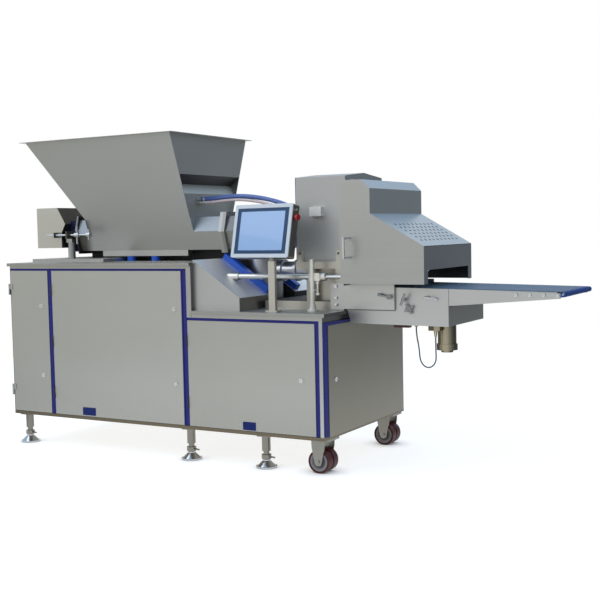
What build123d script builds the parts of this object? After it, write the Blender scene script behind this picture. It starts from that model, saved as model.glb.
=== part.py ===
from build123d import *
import math
import os

# Food forming machine: feed hopper, twin augers, pump, cavity drum and outfeed belt.
# Lengths are in millimetres. Working coordinates start on the floor at the cabinet's left
# front corner: X runs to the outfeed end, Y to the back and Z up. The files are written
# about the middle of the footprint.

# Fits
PLAY = 0.05              # radial play of every shaft or pin in its hole
FACE_GAP = 0.3           # gap between faces that turn on each other

# Cabinet
TALL_L = 1309            # length of the tall part
LOW_L = 791              # length of the low part
CAB_W = 970
CAB_Z = 180              # underside of the cabinet
TALL_Z = 1075            # top of the tall deck
LOW_Z = 820              # top of the low deck
CAB_L = TALL_L + LOW_L
MID = CAB_W / 2
SHEET = 3
PANEL = 2
DECK_EDGE = 18           # turned-down edge of the decks
OVER = 12                # overhang of the decks
END_OVER = 18            # overhang of the low deck at the outfeed end
TUBE = 40
TUBE_WALL = 3
STRIP = 25               # depth of the face strips
STILE = 2                # return edge beside the narrow door
POST_FACE = 30           # face strip at the step
CORNER = 20              # corner tube, seen from the front
END_POST = 50            # corner tube, seen from the end
SILL = 18

# Doors, seals and locks
DOOR_GAP = 2
DOOR_D = 20
SKIN = 2
NARROW_W = 290
SEAL = 18                # seal right of the narrow door
WIDE_SEAL = 26           # seal right of the wide door
CORNER_SEAL = 23         # seal right of the low door
TALL_SEAL = 11           # seal over the tall doors
LOW_SEAL = 14            # seal over the low door and the end panel
SEAL_GAP = 1
SEAL_IN = 4              # seal set back from the face
SEAL_D = 18
HINGE_SEAL = 12
LAP = 8                  # how far a lip reaches behind a door
RAIL = 13                # face strip seen between the tall seal and the deck edge
LOW_RAIL = 32            # face strip over the low door
SEAL_ROUND = 14
KNUCKLE_R = 5
KNUCKLE_H = 32
HINGE_PIN_R = 2.5
HINGE_OUT = 2            # hinge axis in front of the door face
LEAF = 4
FRONT_LEAF = 14          # hinge leaf on the narrow door's face
LOCK_R = 9
LOCK_HEAD_R = 12
LOCK_PROUD = 5
LOCK_INSET = 54
LOW_LOCK_INSET = 80
CAM = 14
CAM_T = 3
END_PROUD = 10           # end panel in front of the end face
END_SEAL_D = 8
END_INSET = 43           # end panel's front edge from the cabinet's front
END_BACK = 27

# Feet and casters
FOOT_R = 56
FOOT_X = (FOOT_R - 10, TALL_L - 74, CAB_L - 385)
FOOT_IN = 72
STEM_R = 12
SLEEVE_R = 23
SLEEVE_Z = CAB_Z - 91
FOOT_PLATE = 80
FOOT_PLATE_T = 12
NUT_R = 26
NUT_Z = (48, 70)
CASTER_X = CAB_L - 67
CASTER_FRONT = 110
CASTER_BACK = CAB_W - 85
CASTER_PLATE = 130
CASTER_PLATE_T = 12
WHEEL_R = 60
WHEEL_W = 44
WHEEL_SPACE = 12
AXLE_R = 8
FORK_T = 5

# Hopper and trough
LEAN = math.tan(math.radians(19.85))
TROUGH_Z = TALL_Z + 62
TROUGH_HALF = 151        # outer half width at the trough's underside
VERTEX_Z = TROUGH_Z + 104
ROOF_Z = TROUGH_Z + 185
ROOF_HALF = 155
TROUGH_X = 262
TROUGH_END = TALL_L - 9
MOUTH_Z = TROUGH_Z + 649
MOUTH_X = 65             # hopper wall at the rim, infeed side
MOUTH_END = TALL_L - 186
END_STEP = 53            # recess of the hopper's end wall
END_SET = 18             # end wall below the recess
FLOOR_X = 362            # where the sloped wall meets the trough roof
RIM = 27
RIM_T = 3
END_PLATE = 12
FLANGE = 20
AUGER_R = 75
AUGER_GAP = 5
AUGER_SPACING = 160
AUGER_Z = TROUGH_Z + 88
AUGER_PITCH = 150
AUGER_SHAFT_R = 20
FLIGHT_T = 7
GEAR_TEETH = 20
GEAR_W = 24
HOOD_X = -8
HOOD_END = 186
HOOD_Y = MID - 235
HOOD_Z = TALL_Z + 83
HOOD_TOP = HOOD_Z + 242
CLAMP_Y = HOOD_Y - 22
CLAMP_Z = TROUGH_Z + 98
CLAMP_R = 6
BASE_PLATE_T = 20
BASE_PLATE_END = 590
PAD_R = 26
PAD_X = (635, 813)
HOSE_R = 12
WATER_R = 8
NUT_WALL = 2             # hose fittings outside their hose
HOSE_NUT = 16            # length of a hose fitting

# Pump, covers and head
PUMP_X = TALL_L + 171
INLET_END = PUMP_X + 140
PUMP_R = 100
PUMP_BORE_R = 80
PUMP_NECK_R = 60
PUMP_FLANGE_R = 112
PUMP_BASE = 20
PUMP_SHAFT_R = 15
OUTLET_R = 50
OUTLET_BORE_R = 40
OUTLET_RING = 10
COVER_Y = 25
COVER_IN = MID - PUMP_FLANGE_R - 7
COVER_END = TALL_L + 291
COVER_LOW = LOW_Z + 70
COVER_HIGH = TALL_Z + 14
COVER_T = 2.5
BLUE_RAIL = 40
BLUE_RAIL_T = 32
ROD_Y = MID - 300
ROD_Z = LOW_Z + 175
ROD_R = 9
ROD_TUBE_R = 15
ROD_POST_X = CAB_L - 138
ROD_POST_R = 13
ROD_POST_TOP = ROD_Z + 91
PLINTH_X = TALL_L + 318
PLINTH_TOP = LOW_Z + 44
HEAD_Y = MID - 247       # front face of the uprights and conveyor sides
BEAM = 30
UPRIGHT = 40
BEAM_Z = LOW_Z + 214
HEAD_Z = LOW_Z + 251     # underside of the head cover
HEAD_X = CAB_L - 290
HEAD_END = CAB_L + 6
HEAD_COVER_Y = HEAD_Y + 27
EAVES = HEAD_Z + 440
RIDGE = EAVES + 21
FILLER_X = CAB_L - 240
OUTLET_Z = min(HEAD_Z - OUTLET_R - 6, TROUGH_Z - 80)

# Guard, drum and conveyor
GUARD_Y = MID - 325
GUARD_X = CAB_L + 24
GUARD_NOSE = GUARD_X + 456
GUARD_Z = LOW_Z + 140
GUARD_NOSE_Z = GUARD_Z + 187
GUARD_STEP_X = GUARD_X + 170
GUARD_STEP_Z = GUARD_Z + 351
GUARD_TOP = GUARD_Z + 522
GUARD_CUT = 45
OUTFEED_Z = GUARD_Z + 69
OUTFEED_JAMB = 50
GUARD_PIN_R = 4
GUARD_KNUCKLE_R = 7.5
GUARD_KNUCKLE_W = 16
HOLE_ROWS = 6
HOLE_COLUMNS = 10
HOLE_R = 8.5
HOLE_PITCH = 52
ROW_PITCH = 32
HOLE_DROP = 28           # middle of the holes below the middle of the slope
BOW = 10
BOW_X = GUARD_X + 50
BOW_Z = GUARD_Z + 129
BOW_H = 107
BOW_OUT = 74
DRUM_X = CAB_L + 190
DRUM_Z = LOW_Z + 295
DRUM_R = 140
DRUM_WALL = 18
DRUM_HALF = 223
DRUM_SHAFT_R = 20
POCKET_R = 42
POCKET_D = 12
POCKETS_ROUND = 6
POCKETS_ACROSS = 4
ARM_T = 13
ARM_X = CAB_L - 70
ARM_END = CAB_L + 291
ARM_Z = LOW_Z + 8
ARM_TOP = LOW_Z + 139
SIDE_T = 12
SIDE_END = CAB_L + 573
SIDE_Z = LOW_Z - 70
BELT_T = 3
BELT_GAP = 8
TAIL_X = CAB_L + 65
TAIL_Z = LOW_Z + 97
TAIL_R = 28
DRIVE_X = CAB_L + 440
DRIVE_Z = LOW_Z + 68
DRIVE_R = 34
NOSE_X = CAB_L + 1134
NOSE_Z = LOW_Z + 94
NOSE_R = 10
NOSE_PLATE = 13          # side plates end this far behind the nose roller
NOSE_SET = 3             # nose plates set back from the side plates' faces
NOSE_BOLTS = 4
NOSE_BOLT_PITCH = 66
ROLLER_SHAFT_R = 6
NOSE_SHAFT_R = 4
BELT_MOTOR_X = SIDE_END - 49
BELT_MOTOR_Y = MID - 145
BELT_MOTOR_R = 46
CABLE_Y = HEAD_Y + 28
CABLE_R = 3.5
ARM_LEVER = (CAB_L + 269, LOW_Z + 74)
STAR_KNOB = (CAB_L + 368, LOW_Z + 15)
TEE_LEVER = (CAB_L + 347, LOW_Z + 62)
WING_SCREW = (CAB_L + 496, LOW_Z + 69)

# Screen
SCREEN_X = CAB_L - 379
SCREEN_Y = 60
SCREEN_Z = LOW_Z + 417
SCREEN_W = 383
SCREEN_H = 279
SCREEN_D = 55
SCREEN_YAW = 8.3
SCREEN_TILT = 11.5
SCREEN_BEZEL = 20
POST_X = CAB_L - 314
POST_Y = 55
POST_W = 38
POST_D = 22
POST_TOP = LOW_Z + 252
POST_PIN_R = 8
NECK_R = 17

ORIGIN_X = (NOSE_X + NOSE_R + BELT_T - OVER) / 2
ORIGIN_Y = MID


# Shape helpers
def block(x, y, z):
    """Box between pairs of coordinates."""
    size = [pair[1] - pair[0] for pair in (x, y, z)]
    middle = [(pair[0] + pair[1]) / 2 for pair in (x, y, z)]
    return Pos(*middle) * Box(*size)


def hollow_bar(x, y, z, along, wall=TUBE_WALL):
    """Square tube between pairs of coordinates, open along one axis."""
    spans = [x, y, z]
    inner = []
    for index, pair in enumerate(spans):
        grow = 1 if index == along else -wall
        inner.append((pair[0] - grow, pair[1] + grow))
    return block(*spans) - block(*inner)


def prism_y(points, y0, y1):
    """Outline in X and Z, drawn out along Y."""
    wire = Wire.make_polygon([(x, y0, z) for x, z in points], close=True)
    return Solid.extrude(Face(wire), Vector(0, y1 - y0, 0))


def prism_x(points, x0, x1):
    """Outline in Y and Z, drawn out along X."""
    wire = Wire.make_polygon([(x0, y, z) for y, z in points], close=True)
    return Solid.extrude(Face(wire), Vector(x1 - x0, 0, 0))


def rod(start, end, radius):
    """Round bar between two points."""
    run = Vector(*end) - Vector(*start)
    return Solid.make_cylinder(radius, run.length, Plane(origin=start, z_dir=run))


def cone(start, end, radius, end_radius):
    """Tapered round bar between two points."""
    run = Vector(*end) - Vector(*start)
    return Solid.make_cone(radius, end_radius, run.length, Plane(origin=start, z_dir=run))


def pipe(start, end, outer, inner):
    """Round tube between two points."""
    return rod(start, end, outer) - rod(start, end, inner)


def other_side(shape):
    """Mirror image across the machine's centre plane."""
    return mirror(shape, about=Plane(origin=(0, MID, 0), z_dir=(0, 1, 0)))


def both(*shapes):
    """The shapes and their mirror images."""
    return list(shapes) + [other_side(shape) for shape in shapes]


def front_only(*shapes):
    """The shapes alone, where the back has none."""
    return list(shapes)


def save(name, *shapes):
    """Write one node, moved to the written frame."""
    solids = []
    for shape in shapes:
        solids.extend(shape.solids())
    moved = [Pos(-ORIGIN_X, -ORIGIN_Y, 0) * solid for solid in solids]
    export_step(moved[0] if len(moved) == 1 else Compound(moved), f"parts/{name}.step")


os.makedirs("parts", exist_ok=True)

# Door places: left and right edge, top edge, hinge heights and lock places
tall_door_top = TALL_Z - DECK_EDGE - RAIL - TALL_SEAL - 2 * SEAL_GAP
low_door_top = LOW_Z - SHEET - LOW_RAIL - LOW_SEAL - 3 * SEAL_GAP
door_z = CAB_Z + SILL + DOOR_GAP
post_x = TALL_L - TUBE
face_x = TALL_L - POST_FACE
corner_x = CAB_L - CORNER
narrow_x = (STILE + DOOR_GAP, STILE + DOOR_GAP + NARROW_W)
divider_x = narrow_x[1] + SEAL + 2 * SEAL_GAP
wide_x = (divider_x + HINGE_SEAL, face_x - WIDE_SEAL - 3 * SEAL_GAP)
low_x = (face_x + DOOR_GAP, corner_x - CORNER_SEAL - 2 * SEAL_GAP)
lock_high = door_z + 626
lock_low = door_z + 220
low_lock_z = door_z + 280
hinge_low = door_z + 125
hinge_mid = (door_z + tall_door_top) / 2 + 8
hinge_high = tall_door_top - 110
doors = {
    "narrow": (narrow_x, tall_door_top, (hinge_low, hinge_high),
               ((narrow_x[1] - LOCK_INSET, lock_high), (narrow_x[1] - LOCK_INSET, lock_low))),
    "wide": (wide_x, tall_door_top, (hinge_low, hinge_mid, hinge_high),
             ((wide_x[1] - LOCK_INSET, lock_high), (wide_x[1] - LOCK_INSET, lock_low))),
    "low": (low_x, low_door_top, (hinge_low, low_door_top - 110),
            ((low_x[1] - LOW_LOCK_INSET, low_lock_z),)),
}
hinge_axes = {
    "narrow": (-KNUCKLE_R - FACE_GAP, -LEAF),
    "wide": (wide_x[0] - HINGE_SEAL / 2, -HINGE_OUT),
    "low": (low_x[0] - HINGE_SEAL / 2, -HINGE_OUT),
}
end_y = (END_INSET, CAB_W - END_BACK)
end_face_x = CAB_L + END_PROUD
end_lock_y = END_INSET + 72
# Left end of each door's lips, and the widths of its left, right and top seals
edges = {
    "narrow": (STILE, 0, SEAL, TALL_SEAL),
    "wide": (divider_x, HINGE_SEAL - 2 * SEAL_GAP, WIDE_SEAL, TALL_SEAL),
    "low": (face_x - SEAL_GAP, 0, CORNER_SEAL, LOW_SEAL),
}
lip_y = (STRIP - SHEET, STRIP)
deep_y = (STRIP, STRIP + TUBE)
back_y = (CAB_W - PANEL - TUBE, CAB_W - PANEL)
inner_y = (deep_y[1], back_y[0])
sill_z = (CAB_Z, CAB_Z + SILL)
bottom_z = (CAB_Z, CAB_Z + TUBE)
tall_top = TALL_Z - SHEET
low_top = LOW_Z - SHEET
tall_rail = tall_door_top + TALL_SEAL + 2 * SEAL_GAP
low_rail = low_door_top + LOW_SEAL + SEAL_GAP
wall_x = TALL_L - PANEL
left_x = (PANEL, PANEL + TUBE)
right_x = (corner_x - TUBE, corner_x)
tall_post = (wide_x[1] + LAP, wall_x)
rail_tall_z = (tall_top - TUBE, tall_top)
rail_low_z = (low_top - TUBE, low_top)
end_z = (sill_z[1] - 4, low_door_top - 10)
end_rail = end_z[1] - 12

# Base frame
frame = [
    block((0, CAB_L), (0, STRIP), sill_z),
    block((corner_x, CAB_L), (STRIP, CAB_W), sill_z),
    block((0, STILE), (0, STRIP), (sill_z[1], tall_rail)),
    block((0, wall_x), (0, STRIP), (tall_rail, tall_top)),
    block((face_x, wall_x), (0, STRIP), (low_rail, tall_rail)),
    block((TALL_L, corner_x), (0, STRIP), (low_rail, low_top)),
    block((corner_x, CAB_L), (END_POST, CAB_W - END_POST), (end_rail, low_top)),
    hollow_bar((corner_x, CAB_L), (0, END_POST), (sill_z[1], low_top), 2, PANEL),
    hollow_bar((corner_x, CAB_L), (CAB_W - END_POST, CAB_W), (sill_z[1], low_top), 2, PANEL),
    hollow_bar((PANEL, corner_x), deep_y, bottom_z, 0),
    hollow_bar((PANEL, corner_x), back_y, bottom_z, 0),
    hollow_bar(left_x, inner_y, bottom_z, 1),
    hollow_bar(right_x, inner_y, bottom_z, 1),
    hollow_bar((post_x, TALL_L), inner_y, bottom_z, 1),
    hollow_bar((PANEL, wall_x), deep_y, rail_tall_z, 0),
    hollow_bar((PANEL, wall_x), back_y, rail_tall_z, 0),
    hollow_bar(left_x, inner_y, rail_tall_z, 1),
    hollow_bar((wall_x - TUBE, wall_x), inner_y, rail_tall_z, 1),
    hollow_bar((TALL_L, corner_x), deep_y, rail_low_z, 0),
    hollow_bar((TALL_L, corner_x), back_y, rail_low_z, 0),
    hollow_bar(right_x, inner_y, rail_low_z, 1),
    hollow_bar((PLINTH_X, PLINTH_X + TUBE), inner_y, rail_low_z, 1),
    hollow_bar(left_x, deep_y, (bottom_z[1], rail_tall_z[0]), 2),
    hollow_bar(left_x, back_y, (bottom_z[1], rail_tall_z[0]), 2),
    hollow_bar((narrow_x[1] + LAP, narrow_x[1] + LAP + TUBE), deep_y, (bottom_z[1], rail_tall_z[0]), 2),
    hollow_bar(tall_post, deep_y, (bottom_z[1], rail_tall_z[0]), 2),
    hollow_bar(tall_post, back_y, (bottom_z[1], rail_tall_z[0]), 2),
    hollow_bar(right_x, back_y, (bottom_z[1], rail_low_z[0]), 2),
]
for name, ((x0, x1), top, heights, locks) in doors.items():
    lip_start, left_seal, right_seal, top_seal = edges[name]
    outer = (lip_start, x1 + right_seal + 2 * SEAL_GAP)
    frame.append(block((outer[0], x0 + LAP), lip_y, (door_z, top - LAP)))
    frame.append(block((x1 - LAP, outer[1]), lip_y, (door_z, top - LAP)))
    frame.append(block(outer, lip_y, (top - LAP, top + top_seal + SEAL_GAP)))
    axis_x, axis_y = hinge_axes[name]
    for z in heights:
        half = rod((axis_x, axis_y, z - KNUCKLE_H), (axis_x, axis_y, z), KNUCKLE_R)
        half += rod((axis_x, axis_y, z), (axis_x, axis_y, z + KNUCKLE_H - 2), HINGE_PIN_R)
        if name == "narrow":
            half += block((-SHEET, 0), (axis_y, DOOR_D), (z - KNUCKLE_H, z))
        else:
            half += block((axis_x - LEAF / 2, axis_x + LEAF / 2), (axis_y, lip_y[0]), (z - KNUCKLE_H, z))
        frame.append(half)
save("base_frame", *frame)

# Sheets of the cabinet and the decks
save("cabinet_panels",
     block((0, PANEL), (STRIP, CAB_W - PANEL), (CAB_Z, tall_top)),
     block((0, wall_x), (CAB_W - PANEL, CAB_W), (CAB_Z, tall_top)),
     block((TALL_L, corner_x), (CAB_W - PANEL, CAB_W), (CAB_Z, low_top)),
     block((wall_x, TALL_L), (0, CAB_W), (low_top, tall_top)),
     block((wall_x, TALL_L), inner_y, (bottom_z[1], rail_low_z[0])),
     block((left_x[1], post_x), inner_y, (CAB_Z + TUBE / 2, CAB_Z + TUBE / 2 + PANEL)),
     block((TALL_L, right_x[0]), inner_y, (CAB_Z + TUBE / 2, CAB_Z + TUBE / 2 + PANEL)))

deck_y = (-OVER, CAB_W + OVER)
tall_deck = block((-OVER, TALL_L), deck_y, (tall_top, TALL_Z))
tall_deck += block((-OVER, SHEET - OVER), deck_y, (TALL_Z - DECK_EDGE, tall_top))
tall_edge = block((-OVER, TALL_L), (-OVER, SHEET - OVER), (TALL_Z - DECK_EDGE, tall_top))
tall_deck += tall_edge
tall_deck += other_side(tall_edge)
low_end = CAB_L + END_OVER
low_deck = block((TALL_L, low_end), deck_y, (low_top, LOW_Z))
low_deck += block((low_end - SHEET, low_end), deck_y, (LOW_Z - DECK_EDGE, low_top))
low_edge = block((TALL_L, low_end), (-OVER, SHEET - OVER), (LOW_Z - DECK_EDGE, low_top))
low_deck += low_edge
low_deck += other_side(low_edge)
low_deck -= rod((PUMP_X, MID, low_top - 1), (PUMP_X, MID, LOW_Z + 1), PUMP_SHAFT_R + 5)
save("decks", tall_deck, low_deck)


# Seals: strips at the sides and over the top, rounded where they meet
def seal_outline(a0, a1, top, left, right, over):
    """Outline of one seal as (across, height) points with a rounded far top corner."""
    outer = a1 + SEAL_GAP + right
    peak = top + SEAL_GAP + over
    points = [(a0, top + SEAL_GAP), (a0, peak)]
    if left:
        points = [(a0 - SEAL_GAP, top + SEAL_GAP), (a0 - SEAL_GAP, door_z),
                  (a0 - SEAL_GAP - left, door_z), (a0 - SEAL_GAP - left, peak)]
    for step in range(6):
        angle = math.radians(90 - 18 * step)
        points.append((outer - SEAL_ROUND + SEAL_ROUND * math.cos(angle),
                       peak - SEAL_ROUND + SEAL_ROUND * math.sin(angle)))
    return points + [(outer, door_z), (a1 + SEAL_GAP, door_z), (a1 + SEAL_GAP, top + SEAL_GAP)]


def hinge_notch(name):
    """Room for the hinge leaves of one door, cut from the seals beside it."""
    x0 = doors[name][0][0]
    return [block((x0 - HINGE_SEAL, x0), (0, STRIP), (z - KNUCKLE_H - 1, z + KNUCKLE_H + 1))
            for z in doors[name][2]]


seals = []
for name, ((x0, x1), top, heights, locks) in doors.items():
    seals.append(prism_y(seal_outline(x0, x1, top, *edges[name][1:]), SEAL_IN, SEAL_IN + SEAL_D))
seals[1] -= hinge_notch("wide") + hinge_notch("low")
seal_peak = end_z[1] + SEAL_GAP + LOW_SEAL
end_outline = [(SHEET, door_z), (SHEET, seal_peak), (end_y[1], seal_peak), (end_y[1], end_z[1] + SEAL_GAP),
               (END_INSET - SEAL_GAP, end_z[1] + SEAL_GAP), (END_INSET - SEAL_GAP, door_z)]
seals.append(prism_x(end_outline, CAB_L, CAB_L + END_SEAL_D))
save("door_seals", *seals)

# Doors: folded trays with the upper hinge halves
for name, ((x0, x1), top, heights, locks) in doors.items():
    door = block((x0, x1), (0, DOOR_D), (door_z, top))
    door -= block((x0 + SKIN, x1 - SKIN), (SKIN, DOOR_D + 1), (door_z + SKIN, top - SKIN))
    axis_x, axis_y = hinge_axes[name]
    for z in heights:
        low = z + FACE_GAP
        height = (low, low + KNUCKLE_H)
        half = rod((axis_x, axis_y, height[0]), (axis_x, axis_y, height[1]), KNUCKLE_R)
        if name == "narrow":
            half += block((axis_x, x0 + FRONT_LEAF), (-SHEET - FACE_GAP, -FACE_GAP), height)
            half += block((x0, x0 + FRONT_LEAF), (-SHEET - FACE_GAP, SKIN), height)
        else:
            half += block((axis_x, x0 + 1), (0, SKIN + 1), height)
        half -= rod((axis_x, axis_y, low - 1), (axis_x, axis_y, height[1] - 1.5), HINGE_PIN_R + PLAY)
        door += half
    for x, z in locks:
        door -= rod((x, -1, z), (x, SKIN + 1, z), LOCK_R + PLAY)
    save(f"{name}_door", door)

# End panel: a shallow tray resting on the end face
end_panel = block((CAB_L, end_face_x), end_y, end_z)
end_panel -= block((CAB_L - 1, end_face_x - SKIN), (end_y[0] + SKIN, end_y[1] - SKIN),
                   (end_z[0] + SKIN, end_z[1] - SKIN))
end_panel -= rod((end_face_x - SKIN - 1, end_lock_y, low_lock_z), (end_face_x + 1, end_lock_y, low_lock_z),
                 LOCK_R + PLAY)
save("end_panel", end_panel)


# Quarter-turn locks: head, spindle through the skin and cam, drawn along -Y at the origin
def lock(inset, depth):
    body = rod((0, -LOCK_PROUD, 0), (0, 0, 0), LOCK_HEAD_R)
    body += rod((0, 0, 0), (0, depth, 0), LOCK_R)
    body += block((-CAM / 2, CAM / 2), (depth, depth + CAM_T), (-inset, CAM / 2 + 2))
    body -= block((-4, 4), (-LOCK_PROUD - 1, 3 - LOCK_PROUD), (-4, 4))
    return body


for name, ((x0, x1), top, heights, locks) in doors.items():
    names = ["lock_upper", "lock_lower"] if len(locks) == 2 else ["lock"]
    for part, (x, z) in zip(names, locks):
        inset = LOCK_INSET if len(locks) == 2 else LOW_LOCK_INSET
        save(f"{name}_{part}", Pos(x, 0, z) * lock(inset, STRIP + 1))
end_lock = lock(LOW_LOCK_INSET, END_PROUD + CORNER + 1)
save("end_lock", Pos(end_face_x, end_lock_y, low_lock_z) * Rot(0, 0, 90) * end_lock)

# Levelling feet, their sleeves and lock nuts
feet = []
sleeves = []
for x in FOOT_X:
    spread = front_only if x == FOOT_X[-1] else both
    foot = rod((x, FOOT_IN, 0), (x, FOOT_IN, 10), FOOT_R)
    foot += cone((x, FOOT_IN, 10), (x, FOOT_IN, 38), FOOT_R - 6, 21)
    foot += rod((x, FOOT_IN, 38), (x, FOOT_IN, 44), 21)
    foot += rod((x, FOOT_IN, 44), (x, FOOT_IN, CAB_Z - FOOT_PLATE_T), STEM_R)
    feet += spread(foot)
    sleeve = rod((x, FOOT_IN, SLEEVE_Z), (x, FOOT_IN, CAB_Z - FOOT_PLATE_T), SLEEVE_R)
    sleeve -= rod((x, FOOT_IN, SLEEVE_Z - 1), (x, FOOT_IN, CAB_Z - FOOT_PLATE_T), STEM_R + PLAY)
    plate = block((x - 34, x - 34 + FOOT_PLATE), (FOOT_IN - 40, FOOT_IN - 40 + FOOT_PLATE),
                  (CAB_Z - FOOT_PLATE_T, CAB_Z))
    nut = rod((x, FOOT_IN, NUT_Z[0]), (x, FOOT_IN, NUT_Z[1]), NUT_R)
    nut += rod((x, FOOT_IN, NUT_Z[1]), (x, FOOT_IN, SLEEVE_Z), STEM_R + 4)
    nut += rod((x + 15, FOOT_IN - 3, NUT_Z[1] - 11), (x + 58, FOOT_IN - 12, NUT_Z[1] - 11), 4.5)
    nut -= rod((x, FOOT_IN, NUT_Z[0] - 1), (x, FOOT_IN, SLEEVE_Z + 1), STEM_R + PLAY)
    sleeves += spread(sleeve, plate, nut)
save("levelling_feet", *feet)
save("foot_sleeves", *sleeves)

# Rigid casters with twin wheels
plate_z = (CAB_Z - CASTER_PLATE_T, CAB_Z)
plate_half = CASTER_PLATE / 2
wheel_out = WHEEL_SPACE / 2 + WHEEL_W
fork_out = wheel_out + 2
leg_outline = [(-38, plate_z[0]), (38, plate_z[0]), (36, plate_z[0] - 37), (22, WHEEL_R),
               (16, WHEEL_R - 16), (0, WHEEL_R - 22), (-16, WHEEL_R - 16), (-22, WHEEL_R),
               (-36, plate_z[0] - 37)]
forks = []
for side, middle in (("front", CASTER_FRONT), ("back", CASTER_BACK)):
    forks.append(block((CASTER_X - plate_half, CASTER_X + plate_half),
                       (middle - fork_out - FORK_T, middle + fork_out + FORK_T), plate_z))
    forks.append(rod((CASTER_X, middle - fork_out - FORK_T - 5, WHEEL_R),
                     (CASTER_X, middle + fork_out + FORK_T + 5, WHEEL_R), AXLE_R))
    wheels = []
    for way in (-1, 1):
        leg_y = (middle + way * fork_out, middle + way * (fork_out + FORK_T))
        leg = prism_y([(CASTER_X + x, z) for x, z in leg_outline], min(leg_y), max(leg_y))
        leg -= rod((CASTER_X, min(leg_y) - 1, WHEEL_R), (CASTER_X, max(leg_y) + 1, WHEEL_R), AXLE_R)
        forks.append(leg)
        near = middle + way * WHEEL_SPACE / 2
        far = middle + way * wheel_out
        wheel = rod((CASTER_X, near, WHEEL_R), (CASTER_X, far, WHEEL_R), WHEEL_R)
        for outer_r, inner_r in ((WHEEL_R - 7, WHEEL_R - 10), (WHEEL_R - 20, AXLE_R + 12)):
            wheel -= pipe((CASTER_X, far - way * 3, WHEEL_R), (CASTER_X, far + way, WHEEL_R),
                          outer_r, inner_r)
        wheel -= rod((CASTER_X, near - way, WHEEL_R), (CASTER_X, far + way, WHEEL_R), AXLE_R + PLAY)
        wheels.append(wheel)
    save(f"{side}_caster_wheels", *wheels)
save("caster_forks", *forks)


# Hopper: leaning front and back walls cut to outline, sloped and recessed end walls
def half_at(z):
    """Outer half width of the leaning walls at one height."""
    return TROUGH_HALF + (z - TROUGH_Z) * LEAN


wall_top = MOUTH_Z - RIM_T
lean_t = SHEET / math.cos(math.atan(LEAN))


def leaning(outline):
    """Plate in the plane of the leaning front wall, cut to an outline in X and Z."""
    low = min(z for x, z in outline)
    high = max(z for x, z in outline)
    across = [(MID - half_at(low), low), (MID - half_at(high), high),
              (MID - half_at(high) + lean_t, high), (MID - half_at(low) + lean_t, low)]
    xs = [x for x, z in outline]
    return prism_x(across, min(xs) - 1, max(xs) + 1) & prism_y(outline, 0, MID)


inside = [(MID - half_at(ROOF_Z) + lean_t, ROOF_Z), (MID - half_at(wall_top) + lean_t, wall_top),
          (MID + half_at(wall_top) - lean_t, wall_top), (MID + half_at(ROOF_Z) - lean_t, ROOF_Z)]
within = prism_x(inside, 0, CAB_L)
upper = leaning([(MOUTH_X, wall_top), (MOUTH_END, wall_top), (MOUTH_END, ROOF_Z), (FLOOR_X, ROOF_Z)])
slope_t = 1.2 * SHEET
left_wall = prism_y([(MOUTH_X, wall_top), (FLOOR_X, ROOF_Z), (FLOOR_X + slope_t, ROOF_Z),
                     (MOUTH_X + slope_t, wall_top)], 0, CAB_W) & within
end_face = [(MOUTH_END, wall_top), (MOUTH_END, ROOF_Z + 238), (MOUTH_END - END_STEP, ROOF_Z + 186),
            (MOUTH_END - END_SET, ROOF_Z + 133), (MOUTH_END - END_SET, ROOF_Z)]
hopper = both(upper) + [left_wall]
for (x0, z0), (x1, z1) in zip(end_face, end_face[1:]):
    strip = prism_y([(x0, z0), (x1, z1), (x1 - slope_t, z1), (x0 - slope_t, z0)], 0, CAB_W)
    hopper.append(strip & within)
mouth_half = half_at(wall_top)
rim_z = (wall_top, MOUTH_Z)
rim_y = (MID - mouth_half - RIM, MID - mouth_half + lean_t)
rim_x = (MOUTH_X - RIM, MOUTH_END + RIM)
hopper += both(block(rim_x, rim_y, rim_z))
hopper.append(block((rim_x[0], MOUTH_X + slope_t), (rim_y[1], CAB_W - rim_y[1]), rim_z))
hopper.append(block((MOUTH_END - slope_t, rim_x[1]), (rim_y[1], CAB_W - rim_y[1]), rim_z))
hose_x = MOUTH_END - END_SET
hose_starts = {"air_hose_upper": (MID - 91, ROOF_Z + 103, HOSE_R),
               "air_hose_lower": (MID - 53, ROOF_Z + 99, HOSE_R),
               "water_hose": (MID - 103, ROOF_Z + 81, WATER_R)}
for y, z, radius in hose_starts.values():
    hopper.append(rod((hose_x, y, z), (hose_x + HOSE_NUT, y, z), radius + NUT_WALL))
save("hopper_walls", *hopper)

# Trough: lower walls, roof over both ends, saddle floor, end plate with ear, bearing block, flange
roof_t = SHEET
vertex_half = half_at(VERTEX_Z)
trough = both(leaning([(FLOOR_X, TROUGH_Z), (MOUTH_END, TROUGH_Z), (MOUTH_END, ROOF_Z), (FLOOR_X, ROOF_Z)]))
shoulder = [(MID - vertex_half, VERTEX_Z), (MID - ROOF_HALF, ROOF_Z),
            (MID - ROOF_HALF + lean_t, ROOF_Z), (MID - vertex_half + lean_t, VERTEX_Z)]
gusset = [(MID - vertex_half, VERTEX_Z), (MID - half_at(ROOF_Z), ROOF_Z), (MID - ROOF_HALF, ROOF_Z)]
for x0, x1 in ((TROUGH_X + END_PLATE / 2, FLOOR_X), (MOUTH_END, TROUGH_END)):
    trough += both(leaning([(x0, TROUGH_Z), (x1, TROUGH_Z), (x1, VERTEX_Z), (x0, VERTEX_Z)]))
    trough += both(prism_x(shoulder, x0, x1))
roof_y = (MID - ROOF_HALF + lean_t, MID + ROOF_HALF - lean_t)
trough.append(block((TROUGH_X + END_PLATE / 2, FLOOR_X), roof_y, (ROOF_Z - roof_t, ROOF_Z)))
trough.append(block((hose_x, TROUGH_END), roof_y, (ROOF_Z - roof_t, ROOF_Z)))
trough += both(prism_x(gusset, FLOOR_X - SHEET, FLOOR_X))
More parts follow.
